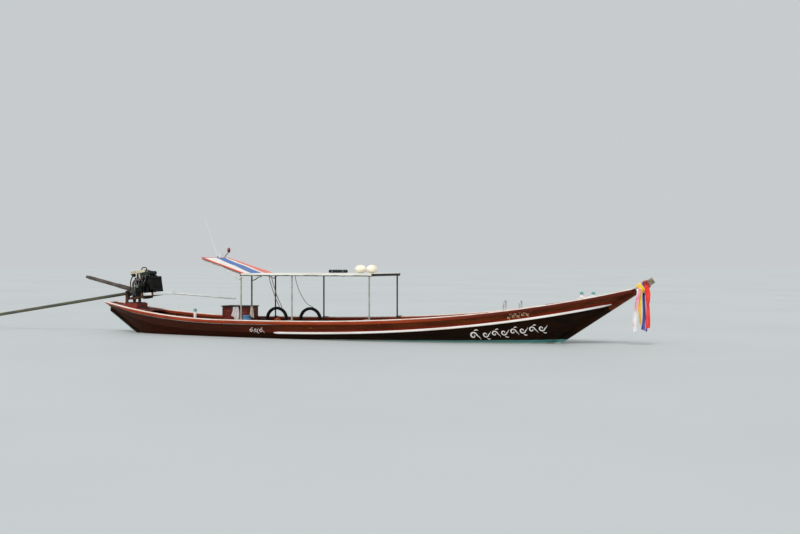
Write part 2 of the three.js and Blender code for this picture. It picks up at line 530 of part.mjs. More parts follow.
function makeGear() {
  const seat = RISER.top + THWART.thick + 2 * GAP;
  const L = LOCKER;
  const rim = L.z1 - L.lid - GAP;
  const carcass = solid(box(L.x0, L.x1, L.y0, L.y1, seat, rim));
  const inside = solid(box(L.x0 + L.wall, L.x1 - L.wall, L.y0 + L.wall, L.y1 - L.wall, seat + L.wall,
    rim + 100));
  const panels = [0, 1].map((i) => {
    const width = (L.x1 - L.x0) / 2;
    return solid(box(L.x0 + i * width + 45, L.x0 + (i + 1) * width - 45, L.y0 - 10, L.y0 + 14, seat + 50,
      L.z1 - 70));
  });
  add('locker', shape([inside, ...panels].reduce((body, cut) => body.subtract(cut), carcass)),
    FINISH.redPlank);
  const lid = box(L.x0 - L.overhang, L.x1 + L.overhang, L.y0 - L.overhang, L.y1 + L.hinge, L.z1 - L.lid,
    L.z1);
  add('locker_lid', lid, FINISH.redPlank);

  for (const [name, x] of [['tyre_aft', TYRE.aftX], ['tyre_fore', TYRE.foreX]]) {
    const [w, t] = [TYRE.width / 2, TYRE.tread];
    const flat = TYRE.radius * Math.cos(Math.PI / TYRE.sides);
    const ring = [
      [-w * 0.55, 0], [w * 0.55, 0], [w * 0.95, 18], [w, t * 0.6], [w * 0.7, t], [w * 0.45, t],
      [w * 0.4, 12], [-w * 0.4, 12], [-w * 0.45, t], [-w * 0.7, t], [-w, t * 0.6], [-w * 0.95, 18],
        [-w * 0.55, 0],
    ].map(([y, depth]) => new THREE.Vector2(TYRE.radius - depth, y));
    const tyre = closed(new THREE.LatheGeometry(ring, TYRE.sides));
    add(name, tyre.rotateY(Math.PI / TYRE.sides).translate(x, TYRE.y, seat + flat), FINISH.rubber);
  }

  const hooks = [];
  const [ladderX0, ladderX1] = LADDER.xs;
  const legs = LADDER.xs.map((x) => {
    const y0 = sheerHalf(x) - GUNWALE.lip - LADDER.tube - LADDER.clear;
    const y1 = sheerHalf(x) + GUNWALE.proud + LADDER.tube + LADDER.clear;
    const arch = new THREE.Path();
    const springZ = sheerZ(ladderX0) + LADDER.rise - (y1 - y0) / 2;
    arch.moveTo(y0, sheerZ(x) - 60).lineTo(y0, springZ);
    arch.absarc((y0 + y1) / 2, springZ, (y1 - y0) / 2, Math.PI, 0, true);
    arch.lineTo(y1, sheerZ(x) - LADDER.drop);
    const path = arch.getPoints(4);
    for (let i = 0; i < path.length - 1; i++) {
      hooks.push(rod(V(x, path[i].x, path[i].y), V(x, path[i + 1].x, path[i + 1].y), LADDER.tube, 8));
    }
    const saddleZ = railTop(x) + LADDER.tube + GAP;
    hooks.push(rod(V(x, y0, saddleZ), V(x, y1, saddleZ), LADDER.tube, 8));
    return y1;
  });
  for (let i = 0; i < LADDER.rungs; i++) {
    const z = sheerZ(ladderX0) - 130 - i * LADDER.rungPitch;
    hooks.push(rod(V(ladderX0, legs[0], z), V(ladderX1, legs[1], z), LADDER.tube, 8));
  }
  add('boarding_ladder', shape(join(hooks)), FINISH.steel);

  const { radius, height } = DRUM;
  const wall = [[0, 0], [radius - 8, 0], [radius, 10], [radius, height - 30], [radius - 18, height - 8],
    [34, height - 8], [34, height + 14], [0, height + 14]];
  const drum = new THREE.LatheGeometry(wall.map(([r, h]) => new THREE.Vector2(r, h)),
    20).rotateX(Math.PI / 2);
  add('water_drum', closed(drum).translate(DRUM.x, DRUM.y, seat), FINISH.bluePlastic);
}

// Sashes knotted round the stem head, each a band with a hanging tail
function makeSashes() {
  const along = V(Math.cos(stemRake), 0, Math.sin(stemRake));
  for (const [name, finish, back, band, wide, end, drop, side, sway] of SASHES) {
    const ring = new THREE.BoxGeometry(band, STEM.width + 34, STEM.depth + 34).rotateY(-stemRake);
    const hole = new THREE.BoxGeometry(band + 20, STEM.width + 1, STEM.depth + 1).rotateY(-stemRake);
    const at = V(STEM.headX, 0, STEM.headZ).addScaledVector(along, -back);
    const wrap = solid(ring.translate(at.x, at.y, at.z)).subtract(solid(hole.translate(at.x, at.y, at.z)));
    const y = side * (STEM.width / 2 + 25);
    const [k0, k1] = [y - side * 14, y + side * 8].sort((a, b) => a - b);
    const knot = solid(box(at.x - 15, at.x + 15, k0, k1, at.z - 15, at.z + 15));
    const levels = [0, 0.35, 0.7, 1].map((t) => {
      const half = (wide + (end - wide) * t) / 2;
      const x = at.x + sway * t;
      const z = at.z + 15 - drop * t;
      const sag = 14 * Math.sin(t * Math.PI) * side;
      return [V(x - half, y - 6 + sag, z), V(x + half, y - 6 + sag, z), V(x + half, y + 7 + sag, z),
        V(x - half, y + 7 + sag, z)];
    });
    add(name, shape(wrap.add(knot).add(solid(loftDown(levels)))), FINISH[finish]);
  }
}

// Level rings, skinned downwards and capped on their own plan
function loftDown(rings) {
  const turned = rings.map((ring) => ring.map((p) => V(-p.z, p.y, p.x)));
  const g = loft(turned);
  return g.rotateY(Math.PI / 2);
}

function makeYoke() {
  const S = SWIVEL;
  const top = S.plateZ + S.plate;
  const plate = box(PIVOT.x - 60, REST.x + 60, -S.armY - S.arm, S.armY + S.arm, S.plateZ, top);
  const disc = rod(V(S.x, 0, S.plateZ), V(S.x, 0, top + 6), S.disc, 28);
  const pin = rod(V(S.x, 0, BED.top - S.pinDrop), V(S.x, 0, S.plateZ + 2), S.pin, 20);
  const arms = [1, -1].map((s) => {
    const [y0, y1] = [s * S.armY, s * (S.armY + S.arm)].sort((a, b) => a - b);
    return box(PIVOT.x - S.armX, PIVOT.x + S.armX, y0, y1, S.plateZ + 2, S.armTop);
  });
  const pitch = THREE.MathUtils.degToRad(PIVOT.pitch);
  const reach = (REST.x - PIVOT.x) / Math.cos(pitch);
  const restTop = PIVOT.z + reach * Math.sin(pitch) + CRADLE.z0 / Math.cos(pitch) - REST.radius *
    Math.tan(pitch) - GAP;
  const rest = rod(V(REST.x, 0, S.plateZ + 2), V(REST.x, 0, restTop), REST.radius, 14);
  const bore = solid(rod(V(PIVOT.x, -400, PIVOT.z), V(PIVOT.x, 400, PIVOT.z),
    TRUNNION.radius + TRUNNION.clear, 20));
  add('swivel_yoke', shape(join([plate, disc, pin, ...arms, rest]).subtract(bore)), FINISH.rust);
}

function makeEngine() {
  const engine = new THREE.Group();
  engine.position.set(PIVOT.x, 0, PIVOT.z);
  engine.rotation.y = -THREE.MathUtils.degToRad(PIVOT.pitch);
  boat.add(engine);
  const put = (name, geometry, finish) => add(name, geometry, finish, engine);
  const [C, E, R] = [CRADLE, ENGINE, RADIATOR];

  const frame = [];
  for (const s of [1, -1]) {
    const [y0, y1] = [s * C.y0, s * C.y1].sort((a, b) => a - b);
    const [p0, p1] = [s * (C.y1 - C.plate), s * C.y1].sort((a, b) => a - b);
    frame.push(box(C.x0, C.x1, y0, y1, C.z0, C.z1), box(-C.plateX, C.plateX, p0, p1, C.z0 + 5, 42));
    const [pinA, pinB] = [s * (C.y1 - 10), s * (SWIVEL.armY + SWIVEL.arm + 18)];
    frame.push(rod(V(0, pinA, 0), V(0, pinB, 0), TRUNNION.radius, 20));
  }
  for (const x of [300, C.x1 - 60]) frame.push(box(x, x + 60, -C.y1, C.y1, C.z0, C.z1));
  put('engine_cradle', shape(join(frame)), FINISH.rust);

  const bell = [[SHAFT.flange, 0], [SHAFT.flange, 78], [-6, 78], [-6, 56], [62, 58], [110, 96], [170, 138],
    [E.x0 - 1, 140], [E.x0 - 1, 0]];
  put('gearbox', closed(turnedOnX(bell, 24)), FINISH.greyPaint);

  const block = [box(E.x0, E.x1, -E.halfY, E.halfY, E.z0, E.z1),
    box(E.sumpX, E.x1 - 60, -84, 84, E.sumpZ, E.z0 + 10)];
  block.push(box(E.x0 + 60, E.x1 - 160, -E.halfY - 46, -E.halfY + 10, -20, 90));
  block.push(rod(V(E.x0 + 110, -E.halfY + 10, 125), V(E.x0 + 110, -E.halfY - 95, 110), 42, 16));
  block.push(rod(V(E.x1 - 150, -E.halfY - 62, 120), V(E.x1 - 20, -E.halfY - 62, 120), 62, 18));
  block.push(box(E.x1 - 130, E.x1 - 60, -E.halfY - 40, -E.halfY + 8, 60, 120));
  block.push(rod(V(E.x0 + 90, E.halfY + 45, -10), V(E.x0 + 330, E.halfY + 45, -10), 58, 18));
  block.push(box(E.x0 + 150, E.x0 + 250, E.halfY - 10, E.halfY + 50, -50, 30));
  for (const s of [1, -1]) block.push(box(E.x0 + 90, E.x0 + 150, s > 0 ? 80 : -126, s > 0 ? 126 : -80,
    C.z1 + GAP, E.z0 + 10));
  put('engine_block', shape(join(block)), FINISH.castIron);

  const head = [box(E.x0 - 8, E.x1 - 20, -112, 112, E.z1 + GAP, E.headTop)];
  for (let i = 0; i < 4; i++) {
    const x = E.x0 + 70 + i * 85;
    head.push(rod(V(x, -60, E.z1 + 70), V(x - 6, -175, E.z1 + 120), 17, 10),
      rod(V(x, 60, E.headTop - 20), V(x, 132, E.headTop + 60), 11, 8));
  }
  head.push(box(E.x0 + 20, E.x1 - 60, -70, 62, E.headTop - 5, E.coverTop));
  head.push(rod(V(E.x1 - 130, 0, E.coverTop - 10), V(E.x1 - 130, 0, E.coverTop + 12), 28, 16));
  put('cylinder_head', shape(join(head)), FINISH.castIron);

  const cleaner = [
    box(E.x0 - 76, E.x1 - 40, -150, 40, E.coverTop + 18, E.coverTop + 62),
    box(E.x0 + 40, E.x0 + 100, -60, 30, E.coverTop + GAP, E.coverTop + 24),
    box(E.x1 - 210, E.x1 - 165, -60, 30, E.coverTop + GAP, E.coverTop + 24),
    rod(V(E.x0 - 20, -104, E.coverTop + 30), V(E.x0 - 20, -104, E.coverTop - 70), 44, 16),
  ];
  put('air_cleaner', shape(join(cleaner)), FINISH.tan);

  const radiator = [
    box(R.x0, R.x1, -R.halfY, R.halfY, R.z0, R.z1),
    box(R.x0 + 12, R.x1 - 12, -R.halfY + 25, R.halfY - 25, R.z1 - 2, R.z1 + 34),
    rod(V(R.x0 + 42, 40, R.z1 + 20), V(R.x0 + 42, 40, R.z1 + 62), 30, 16),
    rod(V(R.x0 - 60, 0, 150), V(R.x0 + 4, 0, 150), R.fan + 22, 28),
    box(R.x0 + 4, R.x1 - 20, -C.y1, -C.y0, C.z1 + GAP, R.z0 + 10),
    box(R.x0 + 4, R.x1 - 20, C.y0, C.y1, C.z1 + GAP, R.z0 + 10),
  ];
  const shroudHole = solid(rod(V(R.x0 - 90, 0, 150), V(R.x0 - 8, 0, 150), R.fan + 12, 28));
  put('radiator', shape(join(radiator).subtract(shroudHole)), FINISH.rubber);
  const fan = [turnedOnX([[E.x1 + GAP, 0], [E.x1 + GAP, 46], [E.x1 + 26, 46], [E.x1 + 40, 30],
    [E.x1 + 72, 30], [E.x1 + 72, 0]], 16).translate(0, 0, 150)];
  for (let i = 0; i < 6; i++) {
    const blade = new THREE.BoxGeometry(8, 62, R.fan - 30).rotateZ(0.5).translate(0, 0,
      (R.fan - 30) / 2 + 22);
    fan.push(blade.rotateX((i * Math.PI) / 3).translate(E.x1 + 54, 0, 150));
  }
  put('fan', shape(join(fan)), FINISH.tan);

  const y = -252;
  const header = [
    V(E.x1 - 120, y + 40, 268), V(E.x1 - 230, y + 8, 262), V(E.x0 + 75, y, 240), V(E.x0 + 32, y, 180),
    V(E.x0 + 22, y, 110), V(E.x0 - 4, y, 60), V(E.x0 - 65, y, 75),
  ];
  const slope = V(-1190, 0, 466).normalize();
  const start = V(E.x0 - 48, y, 69);
  const at = (d) => start.clone().addScaledVector(slope, d);
  const exhaust = [
    bentTube(header, 27, 10, 24), rod(at(0), at(360), 52, 16),
    rod(at(350), at(1220), 44, 16, 42), rod(at(1210), at(1290), 36, 14),
    box(E.x0 + 40, E.x0 + 90, y, -E.halfY - GAP, 170, 250),
    box(E.x1 - 220, E.x1 - 170, y + 20, -E.halfY - GAP, 170, 285),
  ];
  put('exhaust', shape(join(exhaust)), FINISH.soot);

  const tillerY = -C.y1 - 44;
  const tiller = [
    rod(V(1060, tillerY, -138), V(2890, tillerY, -528), 19, 12),
    box(0, 900, -17, 17, -34, 34).rotateY(Math.atan2(84, 890)).translate(410, tillerY, -92),
    box(420, 470, tillerY, -C.y1 - GAP, -160, -108), box(700, 750, tillerY, -C.y1 - GAP, -160, -108),
  ];
  put('tiller', shape(join(tiller)), FINISH.whitePaint);

  const T = SHAFT;
  const tail = [
    rod(V(T.flange - GAP, 0, 0), V(T.to, 0, 0), T.tube, 16),
    rod(V(T.to + 130, 0, 0), V(T.to, 0, 0), T.bearing, 16),
    loftDown([[60, -20], [40, -T.skeg]].map(([half, z]) => [V(T.to + 100 - half, -5, z),
      V(T.to + 100 + half, -5, z), V(T.to + 100 + half, 5, z), V(T.to + 100 - half, 5, z)])),
  ];
  const bore = solid(rod(V(T.flange - T.plug, 0, 0), V(T.to - 20, 0, 0), T.bore, 16));
  put('tail_tube', shape(join(tail).subtract(bore)), FINISH.greyPaint);

  const collar = T.to - PROP.running;
  const hub = turnedOnX([[T.to + PROP.stub, 0], [T.to + PROP.stub, PROP.shaft], [collar, PROP.shaft],
    [collar, PROP.hub - 2], [collar - 14, PROP.hub - 8], [PROP.x + 34, 24], [PROP.x + 30, PROP.hub],
    [PROP.x - 36, PROP.hub - 6], [PROP.x - 74, 0]].reverse(), 16);
  const blades = [hub];
  for (let i = 0; i < PROP.blades; i++) {
    const rings = [0.1, 0.4, 0.75, 1].map((t, k) => {
      const r = PROP.radius * t;
      const chord = PROP.chord * [0.55, 1, 0.9, 0.35][k];
      const twist = THREE.MathUtils.degToRad(PROP.pitch + 28 * (1 - t));
      return [[-0.5, 0], [0, -7], [0.5, 0], [0, 7]].map(([c, d]) => {
        const [u, v] = [c * chord, d * (1.2 - 0.8 * t)];
        return V(u * Math.cos(twist) - v * Math.sin(twist), u * Math.sin(twist) + v * Math.cos(twist), r);
      });
    });
    blades.push(loftDown(rings).rotateX((i * 2 * Math.PI) / PROP.blades).translate(PROP.x, 0, 0));
  }
  put('propeller', shape(join(blades)), FINISH.bronze);
}

makeHull();
makeRails();
makeInside();
makeDecks();
makeCanopy();
makeGear();
makeSashes();
makeYoke();
makeEngine();

export default boat;
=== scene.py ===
"""Looks of a wooden longtail boat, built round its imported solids.

Lengths are metres in the boat's own frame: +X is the bow, +Y is port, +Z is up, and the origin lies on the
waterline amidships. Surfaces are worked out with numpy as grids of points or as profiles carried along paths.
"""
import logging
import math
from dataclasses import dataclass
from enum import Enum
from typing import Any, Callable, Optional, Sequence

import bmesh
import bpy
import numpy as np
from numpy import cos, sin
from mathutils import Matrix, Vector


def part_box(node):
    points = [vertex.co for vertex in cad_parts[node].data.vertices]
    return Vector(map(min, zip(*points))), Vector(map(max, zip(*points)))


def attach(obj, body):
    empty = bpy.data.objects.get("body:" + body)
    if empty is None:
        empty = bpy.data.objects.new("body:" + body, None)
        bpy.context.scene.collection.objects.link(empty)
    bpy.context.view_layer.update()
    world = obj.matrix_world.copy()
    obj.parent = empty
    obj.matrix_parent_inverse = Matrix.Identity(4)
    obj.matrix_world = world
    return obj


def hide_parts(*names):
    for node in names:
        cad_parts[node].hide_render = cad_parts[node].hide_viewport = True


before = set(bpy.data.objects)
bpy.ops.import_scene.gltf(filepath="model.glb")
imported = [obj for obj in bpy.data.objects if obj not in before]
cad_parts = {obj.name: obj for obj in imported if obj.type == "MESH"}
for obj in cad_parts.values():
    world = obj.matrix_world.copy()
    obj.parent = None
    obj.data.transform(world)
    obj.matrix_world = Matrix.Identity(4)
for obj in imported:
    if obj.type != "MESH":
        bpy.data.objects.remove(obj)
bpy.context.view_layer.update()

LOG = logging.getLogger("longtail_boat")
MERGE = 1e-5
Array = np.ndarray
Tree = bpy.types.NodeTree
TAU = 2 * math.pi
HULL_BODY, LID_BODY, SWIVEL_BODY = "hull", "locker_lid", "swivel"
ENGINE_BODY, FAN_BODY, PROPELLER_BODY = "engine", "fan", "propeller"
SIDES = (("port", 1), ("starboard", -1))
RING, TORUS = (False, True), (True, True)  # grids that join across their columns, or both ways
MADE: dict[str, bpy.types.Material] = {}


def point(*values: float) -> Array:
    """One point as a float array."""
    return np.array(values, float)


ORIGIN, FORE, PORT, UP = point(0, 0, 0), point(1, 0, 0), point(0, 1, 0), point(0, 0, 1)


def surface(x: Any, y: Any, z: Any) -> Array:
    """Points whose three coordinates broadcast together, on a last axis of 3."""
    return np.stack(np.broadcast_arrays(x, y, z), -1)


def angles(count: int) -> Array:
    """Angles evenly round a circle, from 0."""
    return np.arange(count) * TAU / count


def unit(vectors: Array) -> Array:
    """Vectors scaled to length 1 along the last axis."""
    return vectors / np.maximum(np.linalg.norm(vectors, axis=-1, keepdims=True), 1e-12)


def smooth_path(points: Sequence[Sequence[float]], count: int) -> Array:
    """Samples a Catmull-Rom curve, whose tangent at each point is half the step between its neighbours.

    Args:
        points: The points that the curve passes through.
        count: How many samples to take, evenly in the parameter.

    Returns:
        An array (count, 3).
    """
    p = np.asarray(points, float)
    p = np.vstack([2 * p[0] - p[1], p, 2 * p[-1] - p[-2]])
    t = np.linspace(0, len(p) - 3, count)
    i = np.minimum(t.astype(int), len(p) - 4)
    u = (t - i)[:, None]
    a, b, c, d = p[i], p[i + 1], p[i + 2], p[i + 3]
    return 0.5 * (2 * b + (c - a) * u + (2 * a - 5 * b + 4 * c - d) * u**2 + (3 * b - a - 3 * c + d) * u**3)


def ring(radius: float, sides: int, squash: float = 1.0) -> Array:
    """A closed outline of points on a circle or ellipse, as (sides, 2)."""
    a = angles(sides)
    return np.stack([radius * cos(a), radius * squash * sin(a)], -1)


def between(low: float, high: float, rows: int = 0, columns: int = 0) -> Array:
    """Even steps as a column of that many rows, or as a row of that many columns."""
    steps = np.linspace(low, high, rows or columns)
    return steps[:, None] if rows else steps[None]


def box(node: str) -> tuple:
    """The two corners of a solid's box, and its middle."""
    lo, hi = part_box(node)
    return lo, hi, point(*((a + b) / 2 for a, b in zip(lo, hi)))


def rounded(width: float, height: float, radius: float, steps: int = 3) -> Array:
    """A rectangle's outline with its corners as quarter circles, as (4 * (steps + 1), 2)."""
    a = np.linspace(0, math.pi / 2, steps + 1)
    corners = []
    for turn, (sx, sy) in enumerate([(1, 1), (-1, 1), (-1, -1), (1, -1)]):
        arc = a + turn * math.pi / 2
        centre = np.array([sx * (width / 2 - radius), sy * (height / 2 - radius)])
        corners.append(centre + radius * np.stack([cos(arc), sin(arc)], -1))
    return np.vstack(corners)


class Skin:
    """Gathers grids of points into one closed mesh, with a material slot and a tone for each."""

    def __init__(self, name: str) -> None:
        """Starts an empty mesh of this name."""
        self.name = name
        self.points: list[Array] = []
        self.tones: list[Array] = []
        self.faces: list[list[int]] = []
        self.slots: list[int] = []
        self.count = 0

    def _keep(self, points: Array, tone: Any) -> int:
        """Stores points with their tones, and returns the index of the first."""
        first = self.count
        flat = np.asarray(points, float).reshape(-1, 3)
        self.points.append(flat)
        self.tones.append(np.broadcast_to(np.asarray(tone, float), points.shape[:-1]).reshape(-1))
        self.count += len(flat)
        return first

    def grid(self, points: Array, wrap: tuple = (False, False), slot: int = 0, tone: Any = 0.0) -> "Skin":
        """Adds a grid with a quad in each cell.

        Args:
            points: An array (rows, columns, 3).
            wrap: Whether the last row joins the first, and the last column the first.
            slot: The material slot of its faces.
            tone: A value, or an array (rows, columns), stored with each point for its material.

        Returns:
            The skin itself.
        """
        rows, cols = points.shape[:2]
        first = self._keep(points, tone)
        i, j = np.meshgrid(np.arange(rows - (not wrap[0])), np.arange(cols - (not wrap[1])), indexing="ij")
        i2, j2 = (i + 1) % rows, (j + 1) % cols
        quads = np.stack([i * cols + j, i2 * cols + j, i2 * cols + j2, i * cols + j2], -1).reshape(-1, 4)
        self.faces.extend((quads + first).tolist())
        self.slots.extend([slot] * len(quads))
        return self

    def lid(self, outline: Array, slot: int = 0, tone: float = 0.0) -> "Skin":
        """Adds one flat face over a closed outline (n, 3)."""
        first = self._keep(outline, tone)
        self.faces.append(list(range(first, first + len(outline))))
        self.slots.append(slot)
        return self

    def loft(self, rows: Array, slot: int = 0, tone: float = 0.0, end_tone: float = 0.0) -> "Skin":
        """Adds closed outlines joined one to the next, with a flat face over the first and the last."""
        return self.grid(rows, RING, slot, tone).lid(rows[0], slot, end_tone).lid(rows[-1], slot, end_tone)

    def shell(self, outer: Array, inner: Array, slot: int = 0, tone: Any = 0.0, inner_slot: int = 0) -> "Skin":
        """Adds a wall between two grids of equal shape, closed round its four borders."""
        self.grid(outer, slot=slot, tone=tone).grid(inner, slot=inner_slot, tone=tone)
        for edge in ((0,), (-1,), (slice(None), 0), (slice(None), -1)):
            self.grid(np.stack([outer[edge], inner[edge]]), slot=slot)
        return self

    def sweep(self, path: Array, profile: Array, up: Optional[Array] = None, scale: Any = 1.0, closed: bool = False,
            slot: int = 0, tone: float = 0.0) -> "Skin":
        """Carries a closed profile along a path, with its first axis level and its second towards up.

        Args:
            path: Points (n, 3).
            profile: Outline (m, 2), across and up.
            up: The rough up direction; a path's own flattest direction if none is given.
            scale: A size for the profile at each point of the path.
            closed: Whether the path joins its own start, which leaves out the end faces.
            slot: The material slot.
            tone: The tone.

        Returns:
            The skin itself.
        """
        path = np.asarray(path, float)
        if closed:
            tangent = unit(np.roll(path, -1, 0) - np.roll(path, 1, 0))
        else:
            tangent = unit(np.gradient(path, axis=0))
        if up is None:
            up = np.linalg.svd(path - path.mean(0) + 1e-9)[2][-1]
        side = unit(np.cross(tangent, np.broadcast_to(np.asarray(up, float), tangent.shape)))
        lift = np.cross(side, tangent)
        size = np.broadcast_to(np.asarray(scale, float), (len(path),))[:, None, None]
        rows = path[:, None] + size * (profile[None, :, :1] * side[:, None] + profile[None, :, 1:] * lift[:, None])
        return self.grid(rows, TORUS, slot, tone) if closed else self.loft(rows, slot, tone, tone)

    def tube(self, path: Any, radius: Any, sides: int = 12, closed: bool = False, slot: int = 0,
            tone: float = 0.0) -> "Skin":
        """Carries a circle along a path; the radius may change along it."""
        return self.sweep(np.asarray(path, float), ring(1.0, sides), scale=radius, closed=closed, slot=slot,
            tone=tone)

    def pipe(self, points: Sequence[Sequence[float]], count: int, radius: float, sides: int, slot: int = 0) -> "Skin":
        """Carries a circle along the smooth path through the points."""
        return self.tube(smooth_path(points, count), radius, sides, slot=slot)

    def lathe(self, profile: Sequence[Sequence[float]], origin: Any, axis: Array = UP, sides: int = 28, slot: int = 0,
            closed: bool = False) -> "Skin":
        """Turns pairs of (distance along the axis, radius) about an axis through origin."""
        p = np.asarray(profile, float)
        axis = unit(np.asarray(axis, float))
        other = unit(np.cross(axis, [0.0, 0.0, 1.0] if abs(axis[2]) < 0.9 else [0.0, 1.0, 0.0]))
        third = np.cross(axis, other)
        a = angles(sides)[:, None]
        spokes = cos(a) * other + sin(a) * third
        rows = np.asarray(origin, float) + p[:, None, :1] * axis + p[:, 1, None, None] * spokes[None]
        self.grid(rows, (closed, True), slot)
        for end in () if closed else (0, -1):
            if p[end, 1] > 1e-6:
                self.lid(rows[end], slot)
        return self

    def turned(self, profile: Sequence[Sequence[float]], origin: Any, axis: Array = UP, sides: int = 28,
            slot: int = 0) -> "Skin":
        """Turns a profile like lathe, closed by a flat disc at each end."""
        return self.lathe([(profile[0][0], 0), *profile, (profile[-1][0], 0)], origin, axis, sides, slot)

    def block(self, lo: Sequence[float], hi: Sequence[float], slot: int = 0, tone: float = 0.0) -> "Skin":
        """Adds a box between two corners."""
        (x0, y0, z0), (x1, y1, z1) = lo, hi
        rows = np.array([[[x, y0, z0], [x, y1, z0], [x, y1, z1], [x, y0, z1]] for x in (x0, x1)], float)
        return self.loft(rows, slot, tone, tone)

    def plate(self, outline: Array, origin: Any, thick: float, across: Array = FORE, up: Array = UP,
            slot: int = 0) -> "Skin":
        """Extrudes an outline (n, 2), drawn on the axes across and up, by thick on both sides of its plane."""
        across, up = unit(np.asarray(across, float)), unit(np.asarray(up, float))
        flat = np.asarray(origin, float) + outline[:, :1] * across + outline[:, 1:] * up
        off = np.cross(across, up) * thick / 2
        return self.loft(np.stack([flat - off, flat + off]), slot)

    def build(self, finishes: Sequence["Finish"], replaces: Sequence[str] = (), body: str = HULL_BODY,
            bevel: float = 0.0, sharp: float = 38.0, move: Optional[Callable[[Array], Array]] = None,
            closed: bool = True) -> bpy.types.Object:
        """Makes the object: merges doubles, turns faces out, shades it, dresses it and puts it on its body.

        Args:
            finishes: One finish for each material slot.
            replaces: The solids that it stands for.
            body: The body it rides on.
            bevel: Width of a bevel on sharp edges, or 0.
            sharp: Edges that turn by more degrees than this stay sharp.
            move: Turns local points to the boat's frame.
            closed: Whether the faces are turned outwards.

        Returns:
            The object.
        """
        co = np.vstack(self.points)
        if move is not None:
            co = move(co)
        mesh = bpy.data.meshes.new(self.name)
        mesh.from_pydata(co.tolist(), [], self.faces)
        mesh.attributes.new("tone", "FLOAT", "POINT").data.foreach_set("value",
            np.concatenate(self.tones).astype(np.float32))
        mesh.polygons.foreach_set("material_index", np.array(self.slots, np.int32))
        work = bmesh.new()
        work.from_mesh(mesh)
        bmesh.ops.remove_doubles(work, verts=work.verts, dist=MERGE)
        bmesh.ops.dissolve_degenerate(work, edges=work.edges, dist=1e-6)
        if closed:
            bmesh.ops.recalc_face_normals(work, faces=work.faces)
        work.to_mesh(mesh)
        work.free()
        return dress(mesh, self.name, finishes, body, replaces, bevel, sharp)


def dress(mesh: bpy.types.Mesh, name: str, finishes: Sequence["Finish"], body: str, replaces: Sequence[str],
        bevel: float, sharp: float) -> bpy.types.Object:
    """Turns a finished mesh into a shaded, dressed object that rides on its body."""
    mesh.polygons.foreach_set("use_smooth", np.ones(len(mesh.polygons), bool))
    mesh.set_sharp_from_angle(angle=math.radians(sharp))
    made = bpy.data.objects.new(name, mesh)
    bpy.context.scene.collection.objects.link(made)
    for finish in finishes:
        mesh.materials.append(finish.material())
    if bevel > 0:
        edge = made.modifiers.new("edges", "BEVEL")
        edge.width, edge.segments, edge.limit_method = bevel, 2, "ANGLE"
        edge.angle_limit = math.radians(sharp)
    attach(made, body)
    if replaces:
        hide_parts(*replaces)
    LOG.info("%s: %d faces on %s", name, len(mesh.polygons), body)
    return made


def refine(node: str, name: str, finish: "Finish", body: str, bevel: float = 0.003,
        sharp: float = 32.0) -> bpy.types.Object:
    """Replaces a solid by its own merged copy with softened edges."""
    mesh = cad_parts[node].data.copy()
    mesh.name = name
    mesh.materials.clear()
    work = bmesh.new()
    work.from_mesh(mesh)
    bmesh.ops.remove_doubles(work, verts=work.verts, dist=MERGE)
    bmesh.ops.dissolve_limit(work, angle_limit=math.radians(1.0), verts=work.verts, edges=work.edges)
    work.to_mesh(mesh)
    work.free()
    return dress(mesh, name, [finish], body, [node], bevel, sharp)


# Finishes


def linear(code: str) -> tuple:
    """An sRGB hex colour as linear red, green, blue and alpha."""
    values = [int(code[i:i + 2], 16) / 255 for i in (0, 2, 4)]
    return tuple(v / 12.92 if v <= 0.04045 else ((v + 0.055) / 1.055) ** 2.4 for v in values) + (1.0,)


def add_node(tree: Tree, kind: str, inputs: Optional[dict] = None, **settings: Any) -> bpy.types.Node:
    """Adds a shader node of a kind, sets its properties, and fills its inputs or links them to sockets or nodes."""
    made = tree.nodes.new(f"ShaderNode{kind}")
    for key, value in settings.items():
        setattr(made, key, value)
    for key, value in (inputs or {}).items():
        if isinstance(value, bpy.types.Node):
            value = value.outputs[0]
        if isinstance(value, bpy.types.NodeSocket):
            tree.links.new(value, made.inputs[key])
        else:
            made.inputs[key].default_value = value
    return made


class Pattern(Enum):
    """How the fine relief of a finish is drawn."""

    GRAIN = "grain"
    SPECKLE = "speckle"
    WEAVE = "weave"


